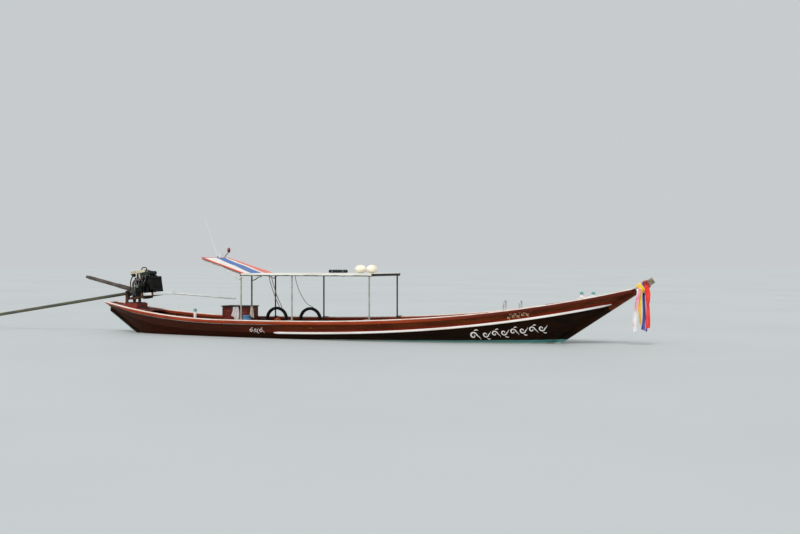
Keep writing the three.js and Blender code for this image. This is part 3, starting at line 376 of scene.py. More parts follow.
@dataclass(frozen=True)
class Finish:
    """A surface with two broad shades, a sparse third one where it is worn, and a fine relief.

    Its colours are sRGB hex values, its lengths in mm.
    """

    name: str
    colours: str
    wear: float = 0.0
    wear_mm: float = 60.0
    patch_mm: Any = 400.0
    rough: tuple = (0.4, 0.6)
    metallic: float = 0.0
    coat: float = 0.0
    sheen: float = 0.0
    specular: float = 0.3
    pattern: Pattern = Pattern.SPECKLE
    relief_mm: Any = 6.0
    depth_mm: float = 0.4
    tone: float = 0.25

    def material(self) -> bpy.types.Material:
        """The material, made once and then shared."""
        if self.name in MADE:
            return MADE[self.name]
        made = bpy.data.materials.new(self.name)
        MADE[self.name] = made
        made.use_nodes = True
        tree = made.node_tree
        tree.nodes.clear()
        place = add_node(tree, "TexCoord").outputs["Object"]
        colour, worn = self.colour(tree, place)
        broad = self.cloud(tree, place, self.patch_mm, 3.0)
        rough = add_node(tree, "MapRange", {"Value": broad, "From Min": 0.3, "From Max": 0.7, "To Min": self.rough[0],
            "To Max": self.rough[1]})
        bump = add_node(tree, "Bump", {"Height": self.relief(tree, place), "Strength": 0.6,
            "Distance": self.depth_mm / 1000})
        shader = add_node(tree, "BsdfPrincipled", {"Base Color": colour, "Roughness": rough, "Normal": bump,
            "Coat Weight": self.coat, "Coat Roughness": 0.15, "Specular IOR Level": self.specular,
            "Sheen Weight": self.sheen, "Metallic": self.metallic})
        if worn is not None and self.metallic > 0:
            bare = add_node(tree, "MapRange", {"Value": worn, "To Min": self.metallic, "To Max": 0.0})
            tree.links.new(bare.outputs[0], shader.inputs["Metallic"])
        add_node(tree, "OutputMaterial", {"Surface": shader})
        return made

    @staticmethod
    def cloud(tree: Tree, place: Any, size_mm: Any, detail: float) -> bpy.types.Node:
        """Noise whose lumps have the given sizes along the three axes, or one size along all."""
        scaled = add_node(tree, "Mapping", {"Vector": place,
            "Scale": tuple(1000 / s for s in np.broadcast_to(size_mm, 3))})
        return add_node(tree, "TexNoise", {"Vector": scaled, "Scale": 1.0, "Detail": detail})

    def colour(self, tree: Tree, place: Any) -> tuple:
        """The base colour socket, and the mask of wear or None."""
        base, shade, *worn = (linear(code) for code in self.colours.split())
        broad = self.cloud(tree, place, self.patch_mm, 4.0)
        share = add_node(tree, "MapRange", {"Value": broad, "From Min": 0.38, "From Max": 0.62})
        mixed = add_node(tree, "Mix", {0: share, 6: base, 7: shade}, data_type="RGBA").outputs[2]
        tone = add_node(tree, "Attribute", attribute_name="tone").outputs["Fac"]
        value = add_node(tree, "MapRange", {"Value": tone, "From Min": -1.0, "From Max": 1.0, "To Min": 1 - self.tone,
            "To Max": 1 + self.tone})
        mixed = add_node(tree, "HueSaturation", {"Color": mixed, "Value": value})
        if self.wear <= 0:
            return mixed, None
        fine = self.cloud(tree, place, (self.wear_mm * 3, self.wear_mm, self.wear_mm), 8.0)
        edge = 0.72 - 0.34 * self.wear
        mask = add_node(tree, "MapRange", {"Value": fine, "From Min": edge, "From Max": edge + 0.06})
        mixed = add_node(tree, "Mix", {0: mask, 6: mixed, 7: worn[0]}, data_type="RGBA").outputs[2]
        return mixed, mask

    def relief(self, tree: Tree, place: Any) -> Any:
        """Height of the fine relief: streaks, specks, or two sets of threads that cross."""
        if self.pattern is not Pattern.WEAVE:
            return self.cloud(tree, place, self.relief_mm, 5.0)
        threads = []
        for axis in ("X", "Y"):
            wave = add_node(tree, "TexWave", {"Vector": place, "Scale": 1000 / self.relief_mm / 3.2},
                bands_direction=axis)
            threads.append(wave.outputs["Fac"])
        return add_node(tree, "Math", {0: threads[0], 1: threads[1]}, operation="MAXIMUM")


@dataclass(frozen=True)
class FadeFinish(Finish):
    """A finish that turns to another colour along the boat, between two stations."""

    other: str = "3a180c"
    fade: tuple = (-0.4, -2.8)

    def colour(self, tree: Tree, place: Any) -> tuple:
        """Mixes the second colour in by the distance along the boat, with the grain's own shade."""
        plain, mask = super().colour(tree, place)
        x = add_node(tree, "SeparateXYZ", {0: place})
        grain = self.cloud(tree, place, (700.0, 60.0, 60.0), 5.0)
        tone = add_node(tree, "Attribute", attribute_name="tone").outputs["Fac"]
        value = add_node(tree, "Math", {0: tone, 1: self.tone * 0.6, 2: grain}, operation="MULTIPLY_ADD")
        value = add_node(tree, "Math", {0: value, 1: 0.5}, operation="ADD")
        other = add_node(tree, "HueSaturation", {"Color": linear(self.other), "Value": value})
        share = add_node(tree, "MapRange", {"Value": x, "From Min": self.fade[0], "From Max": self.fade[1]})
        return add_node(tree, "Mix", {0: share, 6: plain, 7: other}, data_type="RGBA").outputs[2], mask


@dataclass(frozen=True)
class HullFinish(FadeFinish):
    """Dark oiled planks over a painted bottom, whose edge climbs forward from the waterline."""

    bottom: str = "5f9a96 43706c"
    scum: str = "a9b8a8"
    edge_at: tuple = (0.8, 0.03)
    edge_slope: float = 0.0157

    def colour(self, tree: Tree, place: Any) -> tuple:
        """Adds the bottom paint, with a pale line of scum at the water, to the planks' colours."""
        sides, mask = super().colour(tree, place)
        parts = add_node(tree, "SeparateXYZ", {0: place})
        x, z = parts.outputs[0], parts.outputs[2]
        grain = self.cloud(tree, place, (500.0, 50.0, 50.0), 5.0)
        start = self.edge_at[1] - self.edge_slope * self.edge_at[0]
        line = add_node(tree, "Math", {0: x, 1: self.edge_slope, 2: start}, operation="MULTIPLY_ADD")
        wobble = add_node(tree, "Math", {0: grain, 1: 0.016, 2: -0.008}, operation="MULTIPLY_ADD")
        line = add_node(tree, "Math", {0: line, 1: wobble}, operation="ADD")
        over = add_node(tree, "Math", {0: z, 1: line}, operation="SUBTRACT")
        under = add_node(tree, "MapRange", {"Value": over, "From Min": 0.003, "From Max": -0.003})
        patch = self.cloud(tree, place, (260.0, 120.0, 60.0), 6.0)
        fresh, old = (linear(code) for code in self.bottom.split())
        paint = add_node(tree, "Mix", {0: patch, 6: fresh, 7: old}, data_type="RGBA").outputs[2]
        damp = add_node(tree, "MapRange", {"Value": z, "From Min": 0.03, "From Max": 0.018})
        paint = add_node(tree, "Mix", {0: damp, 6: paint, 7: linear(self.scum)}, data_type="RGBA").outputs[2]
        return add_node(tree, "Mix", {0: under, 6: sides, 7: paint}, data_type="RGBA").outputs[2], mask


@dataclass(frozen=True)
class StripeFinish(Finish):
    """Canvas sewn from strips that run fore and aft, one of each colour; the tone goes from -1 near to +1 far."""

    edges: tuple = (-0.93, -0.72, 0.02, 0.16)

    def colour(self, tree: Tree, place: Any) -> tuple:
        """Lays each strip up to its own edge, with dirt over all."""
        y = add_node(tree, "Attribute", attribute_name="tone").outputs["Fac"]
        *strips, colour = (linear(code) for code in self.colours.split())
        for strip, edge in reversed(list(zip(strips, self.edges))):
            side = add_node(tree, "Math", {0: y, 1: edge}, operation="LESS_THAN")
            colour = add_node(tree, "Mix", {0: side, 6: colour, 7: strip}, data_type="RGBA").outputs[2]
        dirt = self.cloud(tree, place, (260.0, 160.0, 200.0), 6.0)
        share = add_node(tree, "MapRange", {"Value": dirt, "From Min": 0.5, "From Max": 0.8, "To Max": 0.5})
        return add_node(tree, "Mix", {0: share, 6: colour, 7: linear("a08f80")}, data_type="RGBA").outputs[2], None


GRAIN = {"pattern": Pattern.GRAIN, "relief_mm": (180, 5, 5)}
CANVAS_WEAVE = {"sheen": 0.1, "pattern": Pattern.WEAVE, "relief_mm": 4.0, "depth_mm": 0.25}
COTTON_WEAVE = {"sheen": 0.2, "pattern": Pattern.WEAVE, "relief_mm": 3.0, "depth_mm": 0.3}

# Oiled hardwood below the strip: nearly black with a low gloss, warm where light rakes it
DARK_PLANK = HullFinish("oiled_dark_planks", "150c05 251206 3b1c0c", 0.08, 40, (900, 120, 90), (0.5, 0.65),
    specular=0.05, depth_mm=0.5, tone=0.35, other="351303", **GRAIN)
# Varnished planks and stem: brown above and brick red below, with golden patches
BROWN_VARNISH = FadeFinish("varnished_brown_planks", "522007 6c300c a0561c", 0.16, 55, (700, 90, 70), (0.4, 0.55),
    specular=0.1, depth_mm=0.4, tone=0.3, other="421805", **GRAIN)
RED_VARNISH = FadeFinish("varnished_red_planks", "6a1a06 7f2409 4c1406", 0.16, 60, (800, 90, 70), (0.4, 0.55),
    specular=0.1, depth_mm=0.4, tone=0.25, other="3d1604", **GRAIN)
STEM_BROWN = FadeFinish("varnished_stem_brown", "4e1e07 60280c 3c1406", 0.16, 55, (300, 90, 70), (0.4, 0.55),
    specular=0.1, depth_mm=0.4, tone=0.2, other="421805", **GRAIN)
# Rail: orange-brown varnish on its side; its top is pinkish white, a painted highlight of the bright sky on the cap
RAIL_SIDE = FadeFinish("varnished_rail_side", "8c3014 9e3f1b bd7040", 0.18, 45, (600, 80, 80), (0.4, 0.6),
    specular=0.15, depth_mm=0.4, tone=0.25, other="5a1c0c", fade=(1.6, 3.6), **GRAIN)
SKYLIT_RAIL_TOP = Finish("skylit_rail_top_highlight", "f6e7df e6c3b0 a8623f", 0.12, 50, (350, 60, 60), (0.5, 0.7), depth_mm=0.5,
    tone=0.15, **GRAIN)
# Brushed enamels on wood: white and cream keep a soft gloss, the others have chalked and worn to the timber
WHITE_TRIM = Finish("white_gloss_trim", "fbf5f0 f0e6de a8836d", 0.06, 30, (500, 200, 200), (0.35, 0.5), depth_mm=0.3,
    **GRAIN)
CREAM_PAINT = Finish("cream_sign_paint", "e3c9a4 cba981 6e3a22", 0.14, 20, (200, 90, 90), (0.4, 0.6), depth_mm=0.2)
GREY_BEAD = Finish("grey_bead_paint", "b9b4ad 9c968f 6d4a38", 0.25, 40, (300, 100, 100), (0.5, 0.65), depth_mm=0.3,
    **GRAIN)
TEAL_PAINT = Finish("teal_paint", "74b0ac 5d9793 3b4744", 0.18, 35, (260, 160, 160), (0.45, 0.65), depth_mm=0.4,
    **GRAIN)
RED_PAINT = Finish("worn_red_deck_paint", "8c3226 6a281f 4a2a20", 0.24, 55, (300, 140, 140), (0.5, 0.7), depth_mm=0.5,
    **GRAIN)
# Locker boards: dark red paint with pale scuffs, and varnish gone dull on the lid
DARK_RED_BOARD = Finish("dark_red_locker_frame", "6e2018 541812 a06a50", 0.2, 40, (260, 90, 90), (0.45, 0.65),
    depth_mm=0.5, **GRAIN)
RED_PANEL = Finish("red_locker_panel", "7e2a20 632018 a8735a", 0.2, 40, (260, 90, 90), (0.45, 0.65), depth_mm=0.5,
    **GRAIN)
DARK_LID = Finish("dark_lid_boards", "3d2a22 2c1e19 6b4c3a", 0.24, 40, (300, 80, 80), (0.5, 0.7), depth_mm=0.5,
    tone=0.35, **GRAIN)
# Bare hardwood: dusty brown under foot, red brown inside the hull, grey and split at the stem's head
BARE_TIMBER = Finish("bare_timber", "8b6748 6e4e36 4d3626", 0.22, 60, (400, 90, 90), (0.6, 0.8), depth_mm=0.7,
    tone=0.3, **GRAIN)
INNER_TIMBER = Finish("inner_planks", "5c2a18 452012 2e170f", 0.2, 60, (500, 110, 90), (0.6, 0.8), specular=0.2,
    depth_mm=0.6, tone=0.3, **GRAIN)
GREY_TIMBER = Finish("weathered_timber", "8f8470 6d6353 4c4338", 0.3, 30, (200, 50, 50), (0.75, 0.9), depth_mm=1.2,
    **GRAIN)
# Galvanised tube has a soft grey shine; the dark tube is that tube darkened as painted shade for the far posts and
# the frame under the roof, dull with rust coming through
LIGHT_TUBE = Finish("galvanised_tube", "c3c1b6 a5a499 8a6d50", 0.14, 30, 160, (0.35, 0.5), 0.7, depth_mm=0.15)
SHADED_DARK_TUBE = Finish("dark_pipe_painted_shade", "4a4d4c 383b3b 6e5a4a", 0.14, 30, 160, (0.5, 0.7), 0.2, depth_mm=0.15)
# Bright rolled steel with a sharp highlight, and cast bronze gone brown
BRIGHT_STEEL = Finish("bright_steel", "dcdedd c4c7c6 9b8a75", 0.06, 18, 80, (0.16, 0.3), 1.0, depth_mm=0.05)
BRONZE = Finish("worn_bronze", "a98446 8a6a38 4f5a44", 0.2, 20, 60, (0.3, 0.5), 1.0, depth_mm=0.2)
# Oily sand-cast iron and blackened steel: near black, brown where dust sticks
CAST_IRON = Finish("oily_cast_iron", "17140f 0f0d0a 38271c", 0.22, 26, 70, (0.5, 0.75), 0.2, specular=0.2,
    depth_mm=0.8, relief_mm=4.0)
DARK_STEEL = Finish("black_oily_steel", "161412 0e0d0c 3a281f", 0.22, 22, 60, (0.5, 0.7), 0.2, specular=0.2,
    depth_mm=0.3)
# Rusted beams and the burnt exhaust: matt browns without a highlight
RUSTY_STEEL = Finish("rusty_brown_steel", "553a2c 3f2b22 7a4a30", 0.34, 24, 70, (0.7, 0.9), 0.25, depth_mm=0.9,
    relief_mm=5.0)
SOOTY_STEEL = Finish("burnt_pipe_steel", "645a54 4c443f 7b5138", 0.2, 40, (200, 60, 60), (0.6, 0.85), 0.2,
    depth_mm=0.6)
# Machine paints: oily grey-green and olive, chalky tan, and white with a low gloss
GREY_PAINT = Finish("oily_grey_green_paint", "6e7468 50564e 33271d", 0.34, 30, 90, (0.5, 0.7), 0.1, depth_mm=0.5)
OLIVE_TUBE = Finish("olive_tail_paint", "5d5a42 474b42 77603c", 0.24, 60, (500, 60, 60), (0.5, 0.7), 0.1,
    depth_mm=0.4)
TAN_PAINT = Finish("tan_paint", "d3c8b0 bfb194 6e5136", 0.2, 24, (120, 80, 80), (0.45, 0.65), depth_mm=0.3)
WHITE_STEEL = Finish("white_tiller_paint", "d8dad6 c3c6c2 7e6a57", 0.12, 30, (220, 60, 60), (0.35, 0.5), 0.1,
    depth_mm=0.2)
# Moulded plastics and the lamp's glass: smooth, with a broad highlight
BLUE_PLASTIC = Finish("blue_drum_plastic", "5b8fc0 41749f a9c3d8", 0.08, 20, 120, (0.3, 0.45), depth_mm=0.2)
WHITE_PLASTIC = Finish("white_fibre_rod", "f1f1ee e0e0dc", rough=(0.3, 0.4), depth_mm=0.1)
RED_LENS = Finish("dark_red_lamp_lens", "8e1c19 6e1513", rough=(0.15, 0.25), coat=0.5, depth_mm=0.05)
# Moulded foam, cream and matt with shallow pits, and charcoal tyre rubber greyed by salt
FOAM = Finish("moulded_float_foam", "faf3e4 efe4cc c9b795", 0.12, 30, 90, (0.6, 0.75), depth_mm=0.6, relief_mm=5.0)
RUBBER = Finish("worn_black_rubber", "151617 202122 3a3936", 0.2, 30, 90, (0.55, 0.8), depth_mm=0.5, relief_mm=3.0)
# Cotton canvas and sewn strips with a faint sheen; threads are drawn coarser than real ones so that they show
CANVAS = Finish("cream_roof_canvas", "e6e4da d3d0c4 a39c8c", 0.16, 90, 500, (0.6, 0.75), **CANVAS_WEAVE)
STRIPES = StripeFinish("sewn_striped_sheet", "dd4a3c f3ece4 3f6fb5 f3ece4 e9776a", rough=(0.6, 0.75), **CANVAS_WEAVE)
# Coarse black matting, and laid white rope without a highlight
MATTING = Finish("rolled_matting", "2b3231 1d2322 4d524e", 0.2, 20, 60, (0.8, 0.95), pattern=Pattern.WEAVE,
    relief_mm=6.0, depth_mm=1.0)
ROPE = Finish("white_rope", "d9d4c8 bdb6a6 8b8272", 0.2, 12, 60, (0.8, 0.95), depth_mm=1.5, relief_mm=5.0)
# Cotton cloths: matt, with a weave that is also drawn coarse
CLOTH_PALE = Finish("pale_cotton", "d8ccb8 bcae98 8f8370", 0.14, 30, 80, (0.8, 0.95), **COTTON_WEAVE)
DARK_CLOTH = Finish("dark_cloth", "2b2a30 1f1e23 4a4850", 0.14, 30, 80, (0.8, 0.95), **COTTON_WEAVE)

# Satin: clear colours with a silky sheen
SASH_COLOURS = {
    "white": "fdfbfa f1ebe9", "pink": "fbb0c8 f094b2", "yellow": "fbd94a efc02e",
    "blue": "6a66c6 4e49a6", "red": "ff4a30 ea3018", "dark_red": "b3201a 8f1512",
    "orange": "f0682c d9531c",
}


def cloth(colour: str) -> Finish:
    """Thin satin of one sash, with a silky sheen and a weave coarse enough to see."""
    return Finish(f"{colour}_satin", SASH_COLOURS[colour], patch_mm=(60, 60, 120), rough=(0.45, 0.65), sheen=0.35,
        pattern=Pattern.WEAVE, relief_mm=2.5, depth_mm=0.15)


# Lines of the hull


@dataclass(frozen=True)
class HullLines:
    """The curves that all the planks follow."""

    stern: float = -6.42
    point: float = 6.22
    mid: float = 0.2
    half_beam: float = 1.02
    stern_half: float = 0.2
    planking: float = 0.028
    full: float = 1.9
    end_full: float = 1.15
    flare: float = 0.12
    low_x: float = -2.9
    keel_depth: float = 0.36

    def rise(self, x: Array, low: float, fore: tuple, aft: tuple) -> Array:
        """A line that is lowest at low_x and rises by a power law to each end: rise * (distance / run) ** power."""
        d = np.asarray(x, float) - self.low_x
        ahead = fore[0] * (np.maximum(d, 0) / fore[1]) ** fore[2]
        behind = aft[0] * (np.maximum(-d, 0) / aft[1]) ** aft[2]
        return low + ahead + behind

    def sheer(self, x: Array) -> Array:
        """Height of the planks' top edge."""
        return self.rise(x, 0.38, (0.74, 8.95, 2.92), (0.33, 3.46, 1.95))

    def rub(self, x: Array) -> Array:
        """Height of the white strip's middle."""
        return self.rise(x, 0.13, (0.7, 8.59, 2.75), (0.51, 3.52, 2.6))

    def keel(self, x: Array) -> Array:
        """Smooth upper envelope of the rockered bottom, the raked stem and the raked stern."""
        x = np.asarray(x, float)
        lines = np.stack([-self.keel_depth + 0.004 * x**2, 0.67 * (x - 4.42), -0.6875 * (x + 5.56)])
        top = lines.max(0)
        return top + 0.05 * np.log(np.exp((lines - top) / 0.05).sum(0))

    def span(self, x: Array) -> Array:
        """Share of the way from the widest place to the end, 0 to 1."""
        x = np.asarray(x, float)
        return np.where(x >= self.mid, (x - self.mid) / (self.point - self.mid),
            (self.mid - x) / (self.mid - self.stern))

    def half(self, x: Array) -> Array:
        """Half-breadth at the sheer."""
        taper = 1 - np.clip(self.span(x), 0, 1) ** 2.2
        aft = self.stern_half + (self.half_beam - self.stern_half) * taper
        return np.where(np.asarray(x, float) >= self.mid, self.half_beam * taper, aft)

    def fullness(self, x: Array) -> Array:
        """Exponent of the superellipse section."""
        return self.end_full + (self.full - self.end_full) * (1 - np.minimum(1, self.span(x)) ** 2.5)

    def section(self, x: Array, angle: Array, inset: Any = 0.0) -> Array:
        """Points on the hull at an angle from the keel, 0, to either sheer, plus or minus a quarter turn.

        The half-breadth goes with sin ** (2 / fullness) and the depth under the sheer with cos ** (2 / fullness).

        Args:
            x: Stations, any shape that broadcasts with angle.
            angle: Section angles.
            inset: Distance inside the outer face.

        Returns:
            Points with a last axis of 3.
        """
        x, angle = np.broadcast_arrays(np.asarray(x, float), np.asarray(angle, float))
        top, power = self.sheer(x), 2 / self.fullness(x)
        low, half = self.keel(x) + inset, np.maximum(self.half(x) - inset, 0.001)
        depth = np.maximum(cos(angle), 0) ** power
        y = np.sign(angle) * half * np.abs(sin(angle)) ** power * (1 - self.flare * depth)
        return surface(x, y, top - (top - low) * depth)

    def angle_at(self, x: Array, z: Array) -> Array:
        """Section angle whose point lies at height z."""
        depth = np.clip((self.sheer(x) - z) / (self.sheer(x) - self.keel(x)), 0, 1)
        return np.arccos(depth ** (self.fullness(x) / 2))

    def width_at(self, x: Array, z: Array, inset: float = 0.0) -> Array:
        """Half-breadth at height z."""
        depth = np.clip((self.sheer(x) - z) / (self.sheer(x) - self.keel(x) - inset), 0, 1)
        p = self.fullness(x)
        return (self.half(x) - inset) * (1 - depth**p) ** (1 / p) * (1 - self.flare * depth)

    def stations(self, start: float, end: float, count: int) -> Array:
        """Stations that crowd towards both ends of the hull."""
        u = np.linspace(-1, 1, 4001)
        reach = np.where(u < 0, self.mid - self.stern, self.point - self.mid)
        all_x = self.mid + np.sign(u) * reach * (1 - (1 - np.abs(u)) ** 1.3)
        lo, hi = np.searchsorted(all_x, [start, end])
        picks = np.linspace(max(lo, 0), min(hi, len(all_x) - 1), count)
        x = np.interp(picks, np.arange(len(all_x)), all_x)
        x[0], x[-1] = start, end
        return x


LINES = HullLines()
RANDOM = np.random.default_rng(11)


@dataclass
class Planking:
    """The planked shell, its stem, keel and transom, and the painted scrolls."""

    stations: int = 130
    aft: float = -6.376
    strakes: int = 7
    upper: tuple = (0.0, 0.27, 1.0)
    seam: float = 0.0045
    groove: float = 0.0035
    stem_foot: tuple = (4.15, 0.0, -0.22)
    stem_head: tuple = (6.45, 0.0, 1.31)
    proud: float = 0.0025

    def seams(self, count: int, width: float) -> tuple:
        """Columns across a band of planks: each seam, its two shoulders and two places between.

        Args:
            count: Number of planks.
            width: Rough width of one plank.

        Returns:
            Shares of the band from 0 to 1, groove depths, and tones, one for each column.
        """
        lip = self.seam / width
        steps = np.array([0, lip, 0.33, 0.67, 1 - lip])
        share = (np.arange(count)[:, None] + steps).ravel() / count
        cut = np.tile([1.0, 0, 0, 0, 0], count)
        cut[0] = 0
        tone = np.repeat(RANDOM.uniform(-1, 1, count), 5)
        tone[::5] = -1.6
        tone[0] = tone[1]
        return np.append(share, 1), np.append(cut, 0) * self.groove, np.append(tone, tone[-1])

    def bottom(self) -> None:
        """Planks from the keel up to the white strip, on both sides, as one wall."""
        x = LINES.stations(self.aft, 6.0, self.stations)[:, None]
        top = LINES.angle_at(x, LINES.rub(x))
        share, cut, port = self.seams(self.strakes, 0.2)
        tone = np.concatenate([self.seams(self.strakes, 0.2)[2][::-1], port[1:]])
        turn = np.concatenate([-share[::-1], share[1:]])
        cuts = np.concatenate([cut[::-1], cut[1:]])
        skin = Skin("bottom_planks")
        outer, inner = LINES.section(x, turn * top, cuts), LINES.section(x, turn * top, LINES.planking)
        skin.shell(outer, inner, tone=np.broadcast_to(tone, outer.shape[:2]), inner_slot=1)
        skin.build([DARK_PLANK, INNER_TIMBER], ["bottom_planking"])

    def sides(self) -> None:
        """Two varnished planks on each side, from the white strip up to the rail."""
        for side, sign in SIDES:
            x = LINES.stations(self.aft, 6.09, self.stations)[:, None]
            low = LINES.angle_at(x, LINES.rub(x))
            skin = Skin(f"side_planks_{side}")
            for k, (start, end) in enumerate(zip(self.upper, self.upper[1:])):
                share, cut, tone = self.seams(1, 0.15)
                turn = low + (np.pi / 2 - low) * (start + share * (end - start))
                outer = LINES.section(x, sign * turn, cut + np.where(np.arange(len(share)) == 0, k * self.groove, 0))
                inner = LINES.section(x, sign * turn, LINES.planking)
                skin.shell(outer, inner, slot=k, tone=np.broadcast_to(tone, outer.shape[:2]), inner_slot=2)
            skin.build([RED_VARNISH, BROWN_VARNISH, INNER_TIMBER], [f"side_strake_{side}"])

    def ends(self) -> None:
        """Transom board, keel and stem, with a thin painted edge along the stern post and along the stem."""
        refine("transom", "transom_board", RED_PAINT, HULL_BODY, 0.004)
        refine("keel", "keel_timber", DARK_PLANK, HULL_BODY, 0.006)
        foot, head = np.array(self.stem_foot), np.array(self.stem_head)
        lean = unit(head - foot)
        front = point(lean[2], 0, -lean[0])
        length = float(np.linalg.norm(head - foot))
        outline = rounded(0.07, 0.12, 0.012)
        up = point(-0.55, 0, 0.83)
        skin = Skin("stem_timber")
        joints = (0.0, 0.62, 0.915, 1.0)
        for k, (start, end) in enumerate(zip(joints, joints[1:])):
            t = np.linspace(start, end, 16)[:, None]
            path = foot + (head - foot) * t
            skin.sweep(path, outline * (1 - 0.002 * k), up=up, slot=k)
        skin.build([DARK_PLANK, STEM_BROWN, GREY_TIMBER], ["stem_post"], sharp=45, bevel=0.003)
        edge = Skin("stem_leading_edge")
        t = np.linspace(0.02, 0.9, 30)[:, None]
        edge.sweep(foot + lean * length * t + front * 0.0615, rounded(0.05, 0.006, 0.0025), up=up)
        edge.build([GREY_BEAD])
        x = np.linspace(-6.36, -5.62, 30)
        post = Skin("stern_post_edge")
        post.sweep(surface(x, 0, LINES.keel(x) - 0.074), rounded(0.067, 0.016, 0.004), up=point(0.6, 0, 1))
        post.build([TEAL_PAINT])

    def scroll(self, skin: Skin, x: float, z: float, size: float, flip: float, weight: float) -> None:
        """Paints one flourish on the starboard side: a spiral that opens into a tail, with a leaf over it.

        The spiral's radius falls evenly with its turn, its stroke swells by a sine, and every point stands
        proud of the planks.

        Args:
            skin: The skin to add it to.
            x: Station of the spiral's middle.
            z: Its height.
            size: Radius of the spiral.
            flip: 1, or -1 to turn it upside down.
            weight: Stroke half-width as a share of the size.
        """
        a = np.linspace(0, 2.3 * math.pi, 44)
        r = size * (1 - 0.78 * a / a[-1])
        curl = np.stack([r * cos(a), r * sin(a)], -1)
        back = np.linspace(1, 0, 14)
        tail = np.stack([size * (1 + 0.9 * back), -size * 1.1 * back**1.5], -1)
        leaf_x, leaf_z = 0.3 + 1.2 * np.linspace(0, 1, 18), 1.25 + 0.35 * sin(np.linspace(0, 2.6, 18))
        leaf = np.stack([size * leaf_x, size * leaf_z], -1)
        for line, wide in ((np.vstack([tail[:-1], curl]), weight), (leaf, weight * 0.8)):
            width = size * wide * sin(np.linspace(0.22, math.pi - 0.15, len(line)))
            tangent = unit(np.gradient(line, axis=0))
            normal = np.stack([-tangent[:, 1], tangent[:, 0]], -1)
            off = normal * width[:, None]
            flat = np.stack([line - off, line + off], 1).reshape(-1, 2) * [1, flip]
            px, pz = x + flat[:, 0], z + flat[:, 1]
            skin.shell(*(surface(px, -(LINES.width_at(px, pz) + lift), pz).reshape(len(line), 2, 3)
                for lift in (self.proud, -0.002)))

    def scrolls(self) -> None:
        """White flourishes forward under the strip and aft, and cream ones over it, in place of painted signs."""
        skin = Skin("painted_scrolls")
        for i in range(8):
            x = 2.98 + 0.186 * i + (0 if i else -0.06)
            self.scroll(skin, x, 0.165 + 0.023 * i, 0.06 if i else 0.075, (-1) ** i, 0.2)
        for i in range(3):
            self.scroll(skin, -2.13 + 0.125 * i, 0.165 + 0.02 * (i % 2), 0.042, (-1) ** i, 0.22)
        skin.build([WHITE_TRIM])
        small = Skin("cream_scrolls")
        for row, (start, height) in enumerate(((3.7, 0.615), (3.66, 0.545))):
            for i in range(5):
                self.scroll(small, start + 0.092 * i, height + 0.018 * i, 0.024, (-1) ** (i + row), 0.24)
        small.build([CREAM_PAINT])

    def build(self) -> None:
        """Makes the whole shell."""
        self.bottom()
        self.sides()
        self.ends()
        self.scrolls()


def band(x: Array, sign: int, pairs: Sequence[tuple]) -> Array:
    """Outlines across the boat, one at each station x, from pairs of (y, z) on the side of that sign."""
    return np.stack([surface(x, sign * y, z) for y, z in pairs], 1)


@dataclass
class Rails:
    """The capping rails, their beads and the white strips."""

    above: float = 0.02
    below: float = 0.064
    proud: float = 0.04
    lip: float = 0.062
    end: float = 6.05
    bead_end: float = -1.2

    def rail(self, side: str, sign: int) -> None:
        """Side timber with a cap on it whose pale top is a painted sky highlight, both carried along the sheer."""
        x = LINES.stations(LINES.stern, self.end, 110)
        z, half = LINES.sheer(x), LINES.half(x)
        inner = np.maximum(half - self.lip, 0.036)
        outer = half + self.proud
        r = 0.006
        below = self.below * np.clip((x - x[0]) / 0.9, 0.3, 1.0)
        skin = Skin(f"rail_{side}")
        hug = LINES.width_at(x, z - below) + 0.0005
        skin.loft(band(x, sign, [(half + 0.0005, z + 0.002), (hug, z - below), (outer - r, z - below),
            (outer, z - below + r), (outer, z - 0.003), (outer - 0.004, z + 0.002)]))
        # the cap's top and outer lip take the pale finish, a painted highlight of the sky
        skin.loft(band(x, sign, [(inner, z + 0.0022), (outer + 0.003, z + 0.0022), (outer + 0.006, z + 0.008),
            (outer + 0.003, z + self.above - 0.004), (outer - 0.006, z + self.above), (inner + 0.006, z + self.above),
            (inner, z + self.above - 0.005)]), 1)
        face = half - LINES.planking - 0.0005
        lip = band(x, sign, [(inner, z - 0.05), (face, z - 0.05), (face, z + 0.0018), (inner, z + 0.0018)])
        skin.loft(lip[half - LINES.planking > inner + 0.004])
        skin.build([RAIL_SIDE, SKYLIT_RAIL_TOP], [f"gunwale_{side}"], sharp=50)
        bead = Skin(f"bead_{side}")
        aft = x < self.bead_end
        low = (z - below - 0.008)[aft]
        path = surface(x[aft], sign * (LINES.width_at(x[aft], low) + 0.006), low)
        bead.sweep(path, rounded(0.014, 0.016, 0.005), up=UP, scale=np.clip((self.bead_end - x[aft]) / 0.8, 0.05, 1))
        bead.build([GREY_BEAD], sharp=50)

    def strip(self, side: str, sign: int) -> None:
        """Half-round white strip along the plank edge, blunt aft and tapered forward."""
        x = LINES.stations(-1.56, 5.74, 90)
        z = LINES.rub(x)
        path = surface(x, sign * (LINES.width_at(x, z) + 0.01), z)
        scale = np.clip((x - x[0]) / 0.05 + 0.5, 0, 1) * np.clip((x[-1] - x) / 0.3, 0.12, 1)
        skin = Skin(f"white_strip_{side}")
        skin.sweep(path, rounded(0.032, 0.046, 0.013, 4), up=UP, scale=scale)
        skin.build([WHITE_TRIM], [f"rub_strake_{side}"], sharp=60)

    def build(self) -> None:
        """Makes both sides."""
        for side, sign in SIDES:
            self.rail(side, sign)
            self.strip(side, sign)


